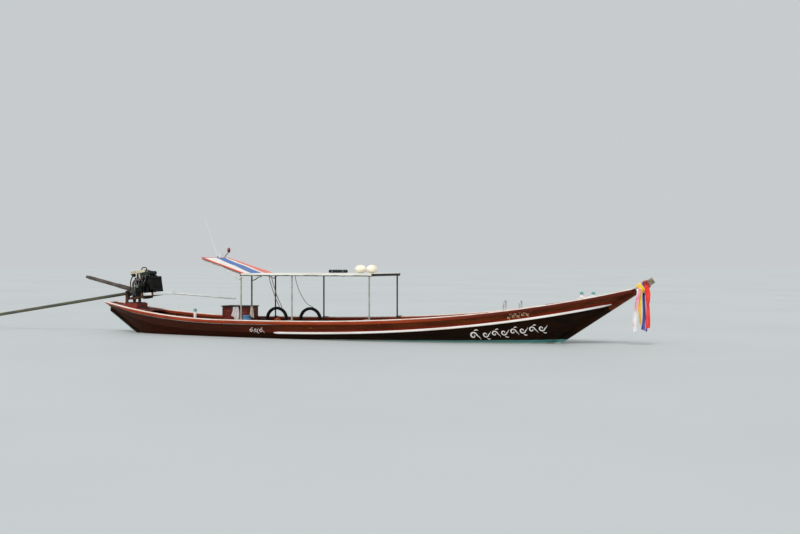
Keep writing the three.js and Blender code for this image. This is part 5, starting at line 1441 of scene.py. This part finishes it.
@dataclass
class Sashes:
    """Coloured sashes wound round the stem head, each with a knot and pleated tails."""

    head: tuple = (6.45, 0.0, 1.31)
    rake: float = math.atan2(1.53, 2.3)
    wrap_half: tuple = (0.052, 0.077)
    cloth: float = 0.0022

    def along(self, back: float) -> Array:
        """The point on the stem's axis that far down from its head."""
        return np.array(self.head) - back * point(math.cos(self.rake), 0, math.sin(self.rake))

    def wrap(self, skin: Skin, back: float, width: float, turns: int, seed: int, fat: float, slot: int) -> None:
        """Twisted turns of cloth: rounded rectangles round the stem, tilted a little, each a lumpy tube."""
        rng = np.random.default_rng(seed)
        axis = point(math.cos(self.rake), 0, math.sin(self.rake))
        up = point(-math.sin(self.rake), 0, math.cos(self.rake))
        outline = rounded(2 * self.wrap_half[0] - 0.012, 2 * self.wrap_half[1] - 0.012, 0.018, 5)
        for k in range(turns):
            offset = (k - (turns - 1) / 2) * width / turns
            a = angles(len(outline))
            lean = 0.008 * sin(a + rng.uniform(0, TAU))
            path = self.along(back) + (offset + lean)[:, None] * axis + outline[:, :1] * PORT + outline[:, 1:] * up
            thick = fat * (0.5 * width / turns + 0.003) * (1 + 0.12 * sin(3 * a + rng.uniform(0, TAU)))
            skin.sweep(path, ring(1.0, 12, 0.62), up=axis, scale=thick, closed=True, slot=slot)

    def tail(self, skin: Skin, top: Array, end: Array, widths: tuple, pleats: int, phase: float, bow: float,
            slot: int) -> None:
        """A hanging strip whose depth is a wave of pleats that open towards its foot.

        Args:
            skin: The skin to add it to.
            top: Middle of its top edge.
            end: Middle of its lower edge.
            widths: Width at the top, at mid length and at the end.
            pleats: Number of pleats across.
            phase: Phase of the pleats.
            bow: How far the strip stands off the straight line at mid length.
            slot: Material slot.
        """
        t, s = between(0, 1, 46), between(-1, 1, columns=33)
        width = np.interp(t, [0, 0.5, 1], widths)
        centre = top + (end - top) * t
        drift = 0.012 * sin(5 * t + phase)
        depth = (0.006 + 0.012 * t) * sin(math.pi * pleats * s + phase + 1.5 * t) + bow * sin(math.pi * t)
        slant = 0.03 * s * (t**6) * math.cos(phase)
        x = centre[:, None, 0] + s * width / 2 * (1 - 0.06 * sin(7 * t + phase)) + drift
        y = centre[:, None, 1] + depth
        z = centre[:, None, 2] + slant
        outer = surface(x, y, z)
        skin.shell(outer, outer - self.cloth * PORT, slot=slot, inner_slot=slot)

    def build(self) -> None:
        """Makes the five sashes.

        Each row is node, two colours, distance from the head, wrap width, turns, fullness, side and tails; a tail
        is the x and z of its foot, three widths, pleats and the number of its colour.
        """
        rows = (
            ("sash_white", "white", "", 0.362, 0.03, 2, 0.7, -1,
             ((6.05, 0.36, 0.03, 0.05, 0.07, 3, 0), (6.1, 0.27, 0.04, 0.06, 0.075, 2, 0))),
            ("sash_pink", "pink", "", 0.317, 0.036, 2, 1.0, -1, ((6.128, 0.7, 0.05, 0.065, 0.07, 3, 0),)),
            ("sash_yellow", "yellow", "", 0.285, 0.11, 3, 1.55, -1, ((6.19, 0.42, 0.06, 0.065, 0.04, 2, 0),)),
            ("sash_blue", "blue", "white", 0.222, 0.034, 2, 1.1, 1,
             ((6.25, 0.3, 0.05, 0.065, 0.115, 3, 0), (6.3, 0.27, 0.02, 0.035, 0.05, 1, 1))),
            ("sash_red", "red", "dark_red", 0.158, 0.086, 4, 1.3, -1,
             ((6.36, 0.35, 0.055, 0.068, 0.09, 3, 0), (6.372, 0.84, 0.075, 0.09, 0.08, 3, 0))),
        )
        for i, (node, colour, second, back, width, turns, fat, side, tails) in enumerate(rows):
            at = self.along(back)
            skin = Skin(f"{node}_cloth")
            wound = int(second == "dark_red")
            self.wrap(skin, back, width, turns, 20 + i, fat, wound)
            y = side * (self.wrap_half[0] + 0.006 + (0.016 if colour == "pink" else 0))
            u, v = between(0, math.pi, 14), angles(20)[None]
            lump = 1 + 0.12 * sin(3 * v + i) * sin(2 * u)
            knot = surface(at[0] + 0.022 * sin(u) * cos(v) * lump, y + 0.013 * sin(u) * sin(v) * lump,
                at[2] - 0.002 - 0.024 * cos(u) * lump)
            skin.grid(knot, RING, slot=wound)
            area = 0.045 + 0.6 * width * fat
            for k, (foot, low, *widths, pleats, slot) in enumerate(tails):
                top = point(at[0] + 0.01 * k, y + side * 0.003 * k, at[2] - 0.012)
                self.tail(skin, top, point(foot, y + side * 0.012 * k, low), tuple(widths), pleats, 1.3 * i + k,
                    side * 0.008, slot)
                area += (top[2] - low) * sum(widths) / 3 * (1 + 0.25 * pleats)
            made = skin.build([cloth(name) for name in (colour, second) if name], [node], sharp=80)


@dataclass
class Engine:
    """The long-tail engine: its own frame has x forward along the shaft and z up, with the tilt pin at the origin."""

    pivot: tuple = (-5.85, 0.0, 0.94)
    pitch: float = math.radians(8.5)
    fan_z: float = 0.15
    tiller_y: float = -0.172
    tiller_slope: float = 0.0944
    muffler_from: tuple = (0.192, -0.252, 0.069)
    muffler_to: tuple = (-0.998, -0.252, 0.535)

    def place(self, local: Array) -> Array:
        """Turns engine points into the boat's frame: a turn by the pitch about the pin, then a shift."""
        c, s = math.cos(self.pitch), math.sin(self.pitch)
        x, y, z = local[..., 0], local[..., 1], local[..., 2]
        return surface(c * x - s * z, y, s * x + c * z) + np.array(self.pivot)

    def make(self, skin: Skin, finishes: Sequence[Finish], nodes: Sequence[str] = (), body: str = ENGINE_BODY,
            bevel: float = 0.0, sharp: float = 38.0) -> bpy.types.Object:
        """Builds a skin whose points are in the engine's frame."""
        return skin.build(finishes, nodes, body, bevel, sharp, self.place)

    @staticmethod
    def bolts(skin: Skin, places: Any, axis: Array, head: float = 0.009, tall: float = 0.007, slot: int = 0) -> None:
        """Adds a chamfered hexagon head at each place, along the axis."""
        for at in places:
            skin.lathe([(-0.002, head), (tall * 0.75, head), (tall, head * 0.8), (tall, 0.0)], at, axis, 6, slot)

    def gearbox(self) -> None:
        """Bell housing and its cone, with ribs along the cone and two rings of bolts."""
        skin = Skin("gearbox_housing")
        skin.turned([(-0.064, 0.073), (-0.06, 0.078), (-0.036, 0.078), (-0.034, 0.074), (-0.032, 0.078),
            (-0.01, 0.078), (-0.006, 0.074), (-0.004, 0.06), (0.0, 0.056), (0.062, 0.058), (0.085, 0.074),
            (0.11, 0.096), (0.15, 0.126), (0.17, 0.136), (0.2, 0.1375), (0.222, 0.138), (0.224, 0.14),
            (0.2392, 0.14)], ORIGIN, FORE, 48)
        a, b = angles(8) + 0.2, angles(12)
        self.bolts(skin, surface(-0.064, 0.062 * cos(a), 0.062 * sin(a)), -FORE)
        self.bolts(skin, surface(0.224, 0.1315 * cos(b), 0.1315 * sin(b)), -FORE, 0.0075, 0.006)
        for angle in angles(6) + 0.5:
            out = point(0, math.cos(angle), math.sin(angle))
            outline = np.array([(0.064, 0.054), (0.17, 0.128), (0.21, 0.133), (0.21, 0.1385), (0.165, 0.1375),
                (0.11, 0.103), (0.064, 0.066)])
            skin.plate(outline, ORIGIN, 0.008, up=out)
        self.make(skin, [GREY_PAINT], ["gearbox"], sharp=30)

    def block(self) -> None:
        """Cast block with ribs and core plugs, sump, injection pump, filter, alternator with fins, and starter."""
        skin = Skin("engine_block_casting")
        skin.plate(rounded(0.37, 0.305, 0.014), (0.425, 0, 0.0475), 0.296)
        for z in (-0.1, 0.186):
            skin.plate(rounded(0.37, 0.3, 0.006), (0.425, 0, z + 0.007), 0.013, up=PORT)
        for sign in (1, -1):
            for k in range(5):
                skin.block((0.262 + 0.078 * k, sign * 0.1495 - 0.004, -0.088),
                    (0.274 + 0.078 * k, sign * 0.1495 + 0.004, 0.182))
            for k in range(4):
                skin.lathe([(0.0, 0.0), (0.0, 0.021), (0.002, 0.024), (0.005, 0.024), (0.006, 0.019), (0.003, 0.0)],
                    point(0.307 + 0.078 * k, sign * 0.148, -0.04), sign * PORT, 20)
        skin.plate(rounded(0.175, 0.1, 0.02), (0.4625, 0, -0.15), 0.168)
        skin.plate(rounded(0.19, 0.18, 0.012), (0.4625, 0, -0.108), 0.012, up=PORT)
        skin.plate(rounded(0.15, 0.11, 0.012), (0.375, -0.168, 0.035), 0.056, slot=1)
        for k in range(4):
            skin.turned([(0, 0.011), (0.018, 0.011), (0.02, 0.007), (0.03, 0.007)],
                point(0.317 + 0.037 * k, -0.168, 0.088), UP, 12, slot=1)
        axis = point(0, -0.105, -0.015)
        skin.turned([(0.0, 0.036), (0.012, 0.042), (0.098, 0.042), (0.106, 0.034)], (0.35, -0.14, 0.125), axis, 28,
            slot=2)
        skin.turned([(0.0, 0.05), (0.006, 0.058), (0.02, 0.062), (0.108, 0.062), (0.122, 0.056), (0.13, 0.045)],
            (0.46, -0.212, 0.12), FORE, 36, slot=1)
        for angle in angles(16):
            out = point(0, math.cos(angle), math.sin(angle))
            skin.plate(rounded(0.016, 0.026, 0.003, 2), point(0.582, -0.212, 0.12) + out * 0.036, 0.004, up=out,
                slot=1)
        skin.turned([(0, 0.03), (0.02, 0.052), (0.03, 0.058), (0.2, 0.058), (0.21, 0.05), (0.24, 0.04)],
            (0.33, 0.195, -0.01), FORE, 30, slot=1)
        skin.tube([(0.4, 0.195, 0.058), (0.46, 0.195, 0.06), (0.52, 0.195, 0.058)], 0.022, 18, slot=1)
        skin.plate(rounded(0.03, 0.16, 0.008, 2), (0.5, -0.17, 0.02), 0.05)
        self.make(skin, [CAST_IRON, DARK_STEEL, GREY_PAINT], ["engine_block"], sharp=32)

    def head(self) -> None:
        """Cylinder head with its inlet stubs and injector lines under a domed rocker cover with a filler cap."""
        skin = Skin("cylinder_head_casting")
        skin.plate(rounded(0.358, 0.129, 0.012), (0.411, 0, 0.2655), 0.224)
        for k in range(4):
            x = 0.31 + 0.085 * k
            skin.turned([(0, 0.026), (0.02, 0.026), (0.022, 0.03), (0.03, 0.03)], point(x, -0.11, 0.262), -PORT, 20)
        outline = rounded(0.29, 0.132, 0.03, 5)
        skin.plate(outline, (0.405, -0.004, 0.352), 0.045, up=PORT, slot=1)
        u = between(0, 1, 12)
        scale = np.sqrt(np.maximum(1 - (0.97 * u) ** 4, 0.02))
        waist = np.where(u < 1, 1, 0.9)
        dome = surface(0.405 + outline[:, 0] * (0.86 + 0.14 * scale) * waist,
            -0.004 + outline[:, 1] * (0.72 + 0.28 * scale) * waist, 0.37 + 0.052 * u)
        skin.loft(dome, 1)
        self.bolts(skin, [(x, y, 0.376) for x in (0.285, 0.405, 0.525) for y in (-0.058, 0.05)], UP, 0.007, 0.006, 2)
        skin.turned([(0, 0.024), (0.003, 0.028), (0.018, 0.028), (0.021, 0.024)], (0.48, 0, 0.416), UP, 12, slot=2)
        for k in range(4):
            x = 0.29 + 0.082 * k
            skin.pipe([(x, 0.085, 0.33), (x, 0.09, 0.352), (x - 0.01, 0.075, 0.362)], 10, 0.011, 12, slot=2)
        self.make(skin, [CAST_IRON, GREY_PAINT, DARK_STEEL], ["cylinder_head"], sharp=35)
        lines = Skin("injector_lines")
        for k in range(4):
            x, x2 = 0.317 + 0.037 * k, 0.29 + 0.082 * k
            lines.pipe([(x, -0.168, 0.117), (x, -0.172, 0.16), (x2 - 0.01, -0.15, 0.21), (x2, -0.118, 0.3),
                (x2, -0.1, 0.338), (x2, -0.075, 0.345)], 30, 0.0035, 8)
        self.make(lines, [BRIGHT_STEEL])

    def air_cleaner(self) -> None:
        """Tan plate with turned-down edges on two legs, and a can that hangs from it."""
        skin = Skin("air_cleaner_plate")
        skin.plate(rounded(0.406, 0.044, 0.01), (0.367, -0.055, 0.465), 0.19)
        skin.block((0.168, -0.1505, 0.424), (0.566, -0.1475, 0.452))
        skin.block((0.1635, -0.1475, 0.395), (0.167, 0.035, 0.455))
        skin.block((0.385, -0.1515, 0.29), (0.42, -0.1445, 0.41))
        for x0, x1 in ((0.28, 0.34), (0.4, 0.445)):
            skin.plate(rounded(x1 - x0, 0.022, 0.006, 2), point((x0 + x1) / 2, -0.02, 0.4343), 0.08)
        skin.turned([(0, 0.036), (0.006, 0.042), (0.02, 0.044), (0.072, 0.044), (0.078, 0.04), (0.09, 0.044),
            (0.1, 0.044)], (0.22, -0.104, 0.355), UP, 28, slot=1)
        for x in np.linspace(0.19, 0.55, 7):
            self.bolts(skin, [(x, -0.15, 0.465)], -PORT, 0.006, 0.004, 2)
        self.make(skin, [TAN_PAINT, DARK_STEEL, RUSTY_STEEL], ["air_cleaner"], sharp=35)

    def radiator(self) -> None:
        """Finned core between two tanks, with a round shroud that tapers to the fan, and a filler neck."""
        skin = Skin("radiator_core")
        skin.plate(rounded(0.07, 0.26, 0.006), (0.735, 0, 0.1), 0.38, slot=1)
        for k in range(23):
            skin.block((0.698, -0.196, -0.022 + 0.0112 * k), (0.7735, 0.196, -0.0185 + 0.0112 * k), slot=1)
        skin.plate(rounded(0.076, 0.062, 0.018, 4), (0.735, 0, 0.264), 0.41)
        skin.plate(rounded(0.074, 0.05, 0.014, 4), (0.735, 0, -0.048), 0.41)
        for sign in (1, -1):
            skin.block((0.7, sign * 0.2015 - 0.0035, -0.07), (0.77, sign * 0.2015 + 0.0035, 0.25))
        a = angles(60)
        wall = np.array([(0.7, 0.19), (0.68, 0.1885), (0.655, 0.187), (0.642, 0.187), (0.642, 0.181), (0.655, 0.181),
            (0.68, 0.182), (0.7, 0.183)])
        x, r = wall[:, :1], wall[:, 1:]
        skin.grid(surface(x, r * cos(a), self.fan_z + r * sin(a)), TORUS)
        skin.turned([(0, 0.02), (0.012, 0.02), (0.014, 0.027), (0.026, 0.027), (0.029, 0.02)], (0.742, 0.04, 0.291),
            UP, 16, slot=2)
        self.make(skin, [DARK_STEEL, CAST_IRON, RUSTY_STEEL], ["radiator"], sharp=35)

    def fan(self) -> None:
        """Six blades whose pitch falls towards their tips, on a stepped hub."""
        skin = Skin("fan_blades")
        z0 = self.fan_z
        skin.lathe([(-0.02, 0.0), (-0.02, 0.03), (-0.012, 0.042), (0.006, 0.042), (0.01, 0.026), (0.012, 0.0)],
            (0.664, 0, z0), FORE, 28)
        s, w = between(0, 1, 10), between(-1, 1, columns=8)
        for angle in angles(6) + 0.35:
            radius = 0.035 + 0.118 * s
            chord = 0.026 + 0.02 * s
            twist = math.radians(38) - math.radians(12) * s
            turn = angle + w * chord * cos(twist) / np.maximum(radius, 0.05)
            x = 0.664 + w * chord * sin(twist) * 0.55
            rows = surface(x, radius * cos(turn), z0 + radius * sin(turn))
            skin.shell(rows, rows + [0.0022, 0, 0])
        self.make(skin, [DARK_STEEL], ["fan"], FAN_BODY, sharp=40)

    def exhaust(self) -> None:
        """Swept header and stepped silencer with welded bands and an open, squared end."""
        skin = Skin("exhaust_pipe")
        skin.pipe([(0.49, -0.212, 0.268), (0.38, -0.244, 0.262), (0.315, -0.252, 0.24), (0.272, -0.252, 0.18),
            (0.262, -0.252, 0.11), (0.236, -0.252, 0.06), (0.2, -0.252, 0.066)], 60, 0.027, 20)
        start, end = np.array(self.muffler_from), np.array(self.muffler_to)
        axis = unit(end - start)
        skin.turned([(0, 0.03), (0.004, 0.048), (0.012, 0.052), (0.16, 0.0515), (0.346, 0.052), (0.352, 0.047),
            (0.356, 0.0445), (0.8, 0.043), (1.21, 0.042), (1.216, 0.037), (1.222, 0.036), (1.29, 0.036),
            (1.29, 0.031), (1.222, 0.031)], start, axis, 40)
        for s, r in ((0.03, 0.0535), (0.33, 0.0535), (0.39, 0.0462), (0.8, 0.0448), (1.19, 0.0437)):
            skin.lathe([(s, r - 0.006), (s, r), (s + 0.012, r), (s + 0.012, r - 0.006)], start, axis, 40, closed=True)
        skin.plate(rounded(0.09, 0.05, 0.012, 3), (0.455, -0.2, 0.268), 0.012)
        self.make(skin, [SOOTY_STEEL], ["exhaust"], sharp=35)

    def cradle(self) -> None:
        """Rusty side beams with cross pieces, from the solid, with bolts, and the swivel yoke from its own solid."""
        refine("engine_cradle", "cradle_beams", RUSTY_STEEL, ENGINE_BODY, 0.004)
        skin = Skin("cradle_bolts")
        for x in (0.27, 0.36, 0.47, 0.58, 0.73):
            for sign in (-1, 1):
                self.bolts(skin, [(x, sign * 0.128, -0.143)], sign * PORT, 0.01, 0.008)
        self.make(skin, [RUSTY_STEEL])
        refine("swivel_yoke", "yoke_arms", RUSTY_STEEL, SWIVEL_BODY, 0.005)

    def tiller(self) -> None:
        """White bar clamped along the engine, then a long rod with a thicker grip and a rounded end."""
        skin = Skin("tiller_bar")
        y = self.tiller_y
        bar = np.array([(0.412, y, -0.0922), (0.86, y, -0.1345), (1.306, y, -0.1766)])
        skin.sweep(bar, rounded(0.034, 0.068, 0.008), up=UP)
        rod = smooth_path([(1.24, y, -0.1764), (1.6, y, -0.253), (2.2, y, -0.381), (2.89, y, -0.528)], 60)
        skin.tube(rod, 0.0185, 20)
        skin.lathe([(0, 0.0185), (0.006, 0.017), (0.011, 0.01), (0.0125, 0.0)], rod[-1], unit(rod[-1] - rod[-2]), 20)
        skin.tube(rod[46:57], 0.0215 + 0.0012 * cos(np.arange(11) * 2.2), 20, slot=2)
        for x in (0.445, 0.725):
            z = -0.0922 - (x - 0.412) * self.tiller_slope
            skin.plate(rounded(0.05, 0.09, 0.006, 2), (x, y, z), 0.046, slot=1)
            drop = (x - 0.425) * 0.0945
            self.bolts(skin, [(x, y - 0.023, -0.064 - drop), (x, y - 0.023, -0.119 - drop)], -PORT, 0.008, 0.006, 1)
        self.make(skin, [WHITE_STEEL, RUSTY_STEEL, WHITE_STEEL], ["tiller"], sharp=35)

    def tail_tube(self) -> None:
        """Long shaft tube with weld beads, a bearing at its end and a skeg under it."""
        skin = Skin("tail_tube_casing")
        skin.turned([(-0.0643, 0.037), (-1.2, 0.037), (-2.4, 0.0372), (-3.6, 0.037), (-4.6, 0.037), (-4.612, 0.044),
            (-4.63, 0.05), (-4.742, 0.05), (-4.75, 0.044)], ORIGIN, FORE, 32)
        for x in (-0.095, -1.56, -3.1, -4.58):
            skin.lathe([(x, 0.036), (x, 0.0395), (x - 0.01, 0.041), (x - 0.02, 0.0395), (x - 0.02, 0.036)], ORIGIN,
                FORE, 32, closed=True)
        outline = np.array([(-4.58, -0.03), (-4.69, -0.03), (-4.675, -0.14), (-4.655, -0.195), (-4.635, -0.2),
            (-4.62, -0.17)])
        skin.plate(outline, ORIGIN, 0.01)
        self.make(skin, [OLIVE_TUBE], ["tail_tube"], sharp=35)

    def propeller(self) -> None:
        """Two blades whose pitch eases towards the tip, on a hub with a nut; the blade outline is a half sine."""
        skin = Skin("propeller_blades")
        skin.turned([(-0.048, 0.018), (-0.04, 0.026), (-0.028, 0.032), (0.0, 0.034), (0.03, 0.034), (0.034, 0.022),
            (0.066, 0.022)], (-4.82, 0, 0), FORE, 28)
        s, w = between(0, 1, 24), between(-1, 1, columns=14)
        for angle in (math.pi / 2, -math.pi / 2):
            radius = 0.028 + 0.1435 * s
            swell = 0.45 + 0.55 * sin(math.pi * np.clip(0.12 + 0.86 * s, 0, 1))
            chord = 0.039 * swell * np.sqrt(np.maximum(1 - (s - 0.02) ** 8, 0.02))
            twist = math.radians(58) - math.radians(34) * s
            along = w * chord
            across = along * cos(twist)
            x = -4.82 + along * sin(twist) * 0.45
            ca, sa = math.cos(angle), math.sin(angle)
            rows = surface(x, radius * ca - across * sa, radius * sa + across * ca)
            thick = 0.0042 * (1 - 0.75 * s) * np.sqrt(np.maximum(1 - w**2, 0.03))
            off = surface(thick, 0, 0)
            skin.shell(rows - off, rows + off)
        self.make(skin, [BRONZE], ["propeller"], PROPELLER_BODY, sharp=40)

    def hoses(self) -> None:
        """Water hoses to the radiator, a looped hose on top, a curved hose to the gearbox, belt and two clamps."""
        skin = Skin("engine_hoses")
        skin.pipe([(0.545, 0.04, 0.4), (0.6, 0.05, 0.425), (0.66, 0.06, 0.395), (0.715, 0.065, 0.285)], 30, 0.021, 18)
        skin.pipe([(0.6, 0.12, 0.02), (0.64, 0.15, -0.03), (0.685, 0.15, -0.05), (0.705, 0.14, -0.05)], 26, 0.019, 16)
        a = np.linspace(-0.6, math.pi + 0.6, 40)
        loop = surface(0.515 + 0.07 * cos(a), -0.09 + 0.012 * sin(2 * a), 0.47 + 0.07 * sin(a))
        skin.tube(loop, 0.012, 14)
        skin.pipe([(0.2, -0.104, 0.37), (0.165, -0.12, 0.34), (0.13, -0.125, 0.27), (0.1, -0.11, 0.2),
            (0.085, -0.09, 0.12), (0.09, -0.055, 0.06)], 44, 0.013, 14)
        skin.pipe([(0.33, -0.19, 0.05), (0.27, -0.2, 0.0), (0.21, -0.17, -0.07), (0.15, -0.11, -0.11),
            (0.06, -0.1, -0.115)], 44, 0.01, 12)
        skin.turned([(-0.15, 0.038), (-0.142, 0.046), (0.142, 0.046), (0.15, 0.038)], (0.655, 0, 0.386), PORT, 28)
        skin.plate(rounded(0.03, 0.08, 0.006, 2), (0.655, 0, 0.325), 0.16)
        skin.lathe([(0, 0), (0, 0.024), (0.02, 0.024), (0.022, 0.0)], (0.655, -0.09, 0.428), UP, 20)
        self.make(skin, [RUBBER])
        clamps = Skin("hose_clamps")
        for at, axis, r in ((point(0.553, 0.042, 0.404), (1, 0.1, 0.5), 0.0225),
                (point(0.714, 0.065, 0.292), (0.4, 0, -1), 0.0225)):
            clamps.lathe([(-0.005, r - 0.003), (-0.005, r), (0.005, r), (0.005, r - 0.003)], at, axis, 28,
                closed=True)
        self.make(clamps, [BRIGHT_STEEL])

    def build(self) -> None:
        """Makes the engine."""
        for step in (self.gearbox, self.block, self.head, self.air_cleaner, self.radiator, self.fan, self.exhaust,
                self.cradle, self.tiller, self.tail_tube, self.propeller, self.hoses):
            step()


@dataclass
class Studio:
    """Pale floor at the waterline, open where the hull stands in it, soft light and the camera of the photograph."""

    eye: tuple = (9.5797, -22.23, 1.6296)
    yaw: float = 21.0
    pitch: float = -0.156
    lens: float = 49.455

    def build(self) -> None:
        """Makes the floor, the lights, the sky and the camera."""
        scene = bpy.context.scene
        x = LINES.stations(-5.4, 4.36, 90)
        half = np.maximum(LINES.width_at(x, 0 * x) - 0.01, 0.012)
        rim = np.concatenate([surface(x, half, 0), surface(x, -half, 0)[::-1]])
        turn = np.arctan2(rim[:, 1], rim[:, 0])
        rounds = [rim]
        for k, reach in ((0.5, 12.0), (1.0, 30.0), (1.0, 120.0), (1.0, 450.0)):
            rounds.append(rim * (1 - k) + k * reach * surface(cos(turn), sin(turn), 0 * turn))
        floor = Skin("floor").grid(np.array(rounds), RING)
        finish = Finish("pale_studio_floor", "c4c8c8 bfc4c4", rough=(0.55, 0.65), depth_mm=0.1, patch_mm=9000)
        made = floor.build([finish], closed=False)
        made.parent = None
        world = bpy.data.worlds.new("sky")
        scene.world = world
        world.use_nodes = True
        world.node_tree.nodes["Background"].inputs[0].default_value = linear("dfe3e5")
        world.node_tree.nodes["Background"].inputs[1].default_value = 0.78
        for name, turn, energy, spread in (("key", (38, 0, 12), 1.6, 30), ("fill", (58, 0, -38), 0.5, 60)):
            light = bpy.data.lights.new(name, "SUN")
            light.energy, light.angle = energy, math.radians(spread)
            lamp = bpy.data.objects.new(name, light)
            lamp.rotation_euler = tuple(math.radians(v) for v in turn)
            scene.collection.objects.link(lamp)
        data = bpy.data.cameras.new("camera")
        data.lens, data.sensor_width, data.clip_end = self.lens, 36.0, 2000
        camera = bpy.data.objects.new("camera", data)
        camera.location = self.eye
        camera.rotation_euler = (math.radians(90 + self.pitch), 0, math.radians(self.yaw))
        scene.collection.objects.link(camera)
        scene.camera = camera
        scene.view_settings.view_transform = "Standard"


def main() -> None:
    """Builds every sub-assembly in order."""
    logging.basicConfig(level=logging.INFO, format="%(name)s %(message)s")
    Studio().build()
    for part in (Planking(), Rails(), Inside(), Decks(), Canopy(), Gear(), Sashes(), Engine()):
        part.build()


if __name__ == "__main__":
    main()
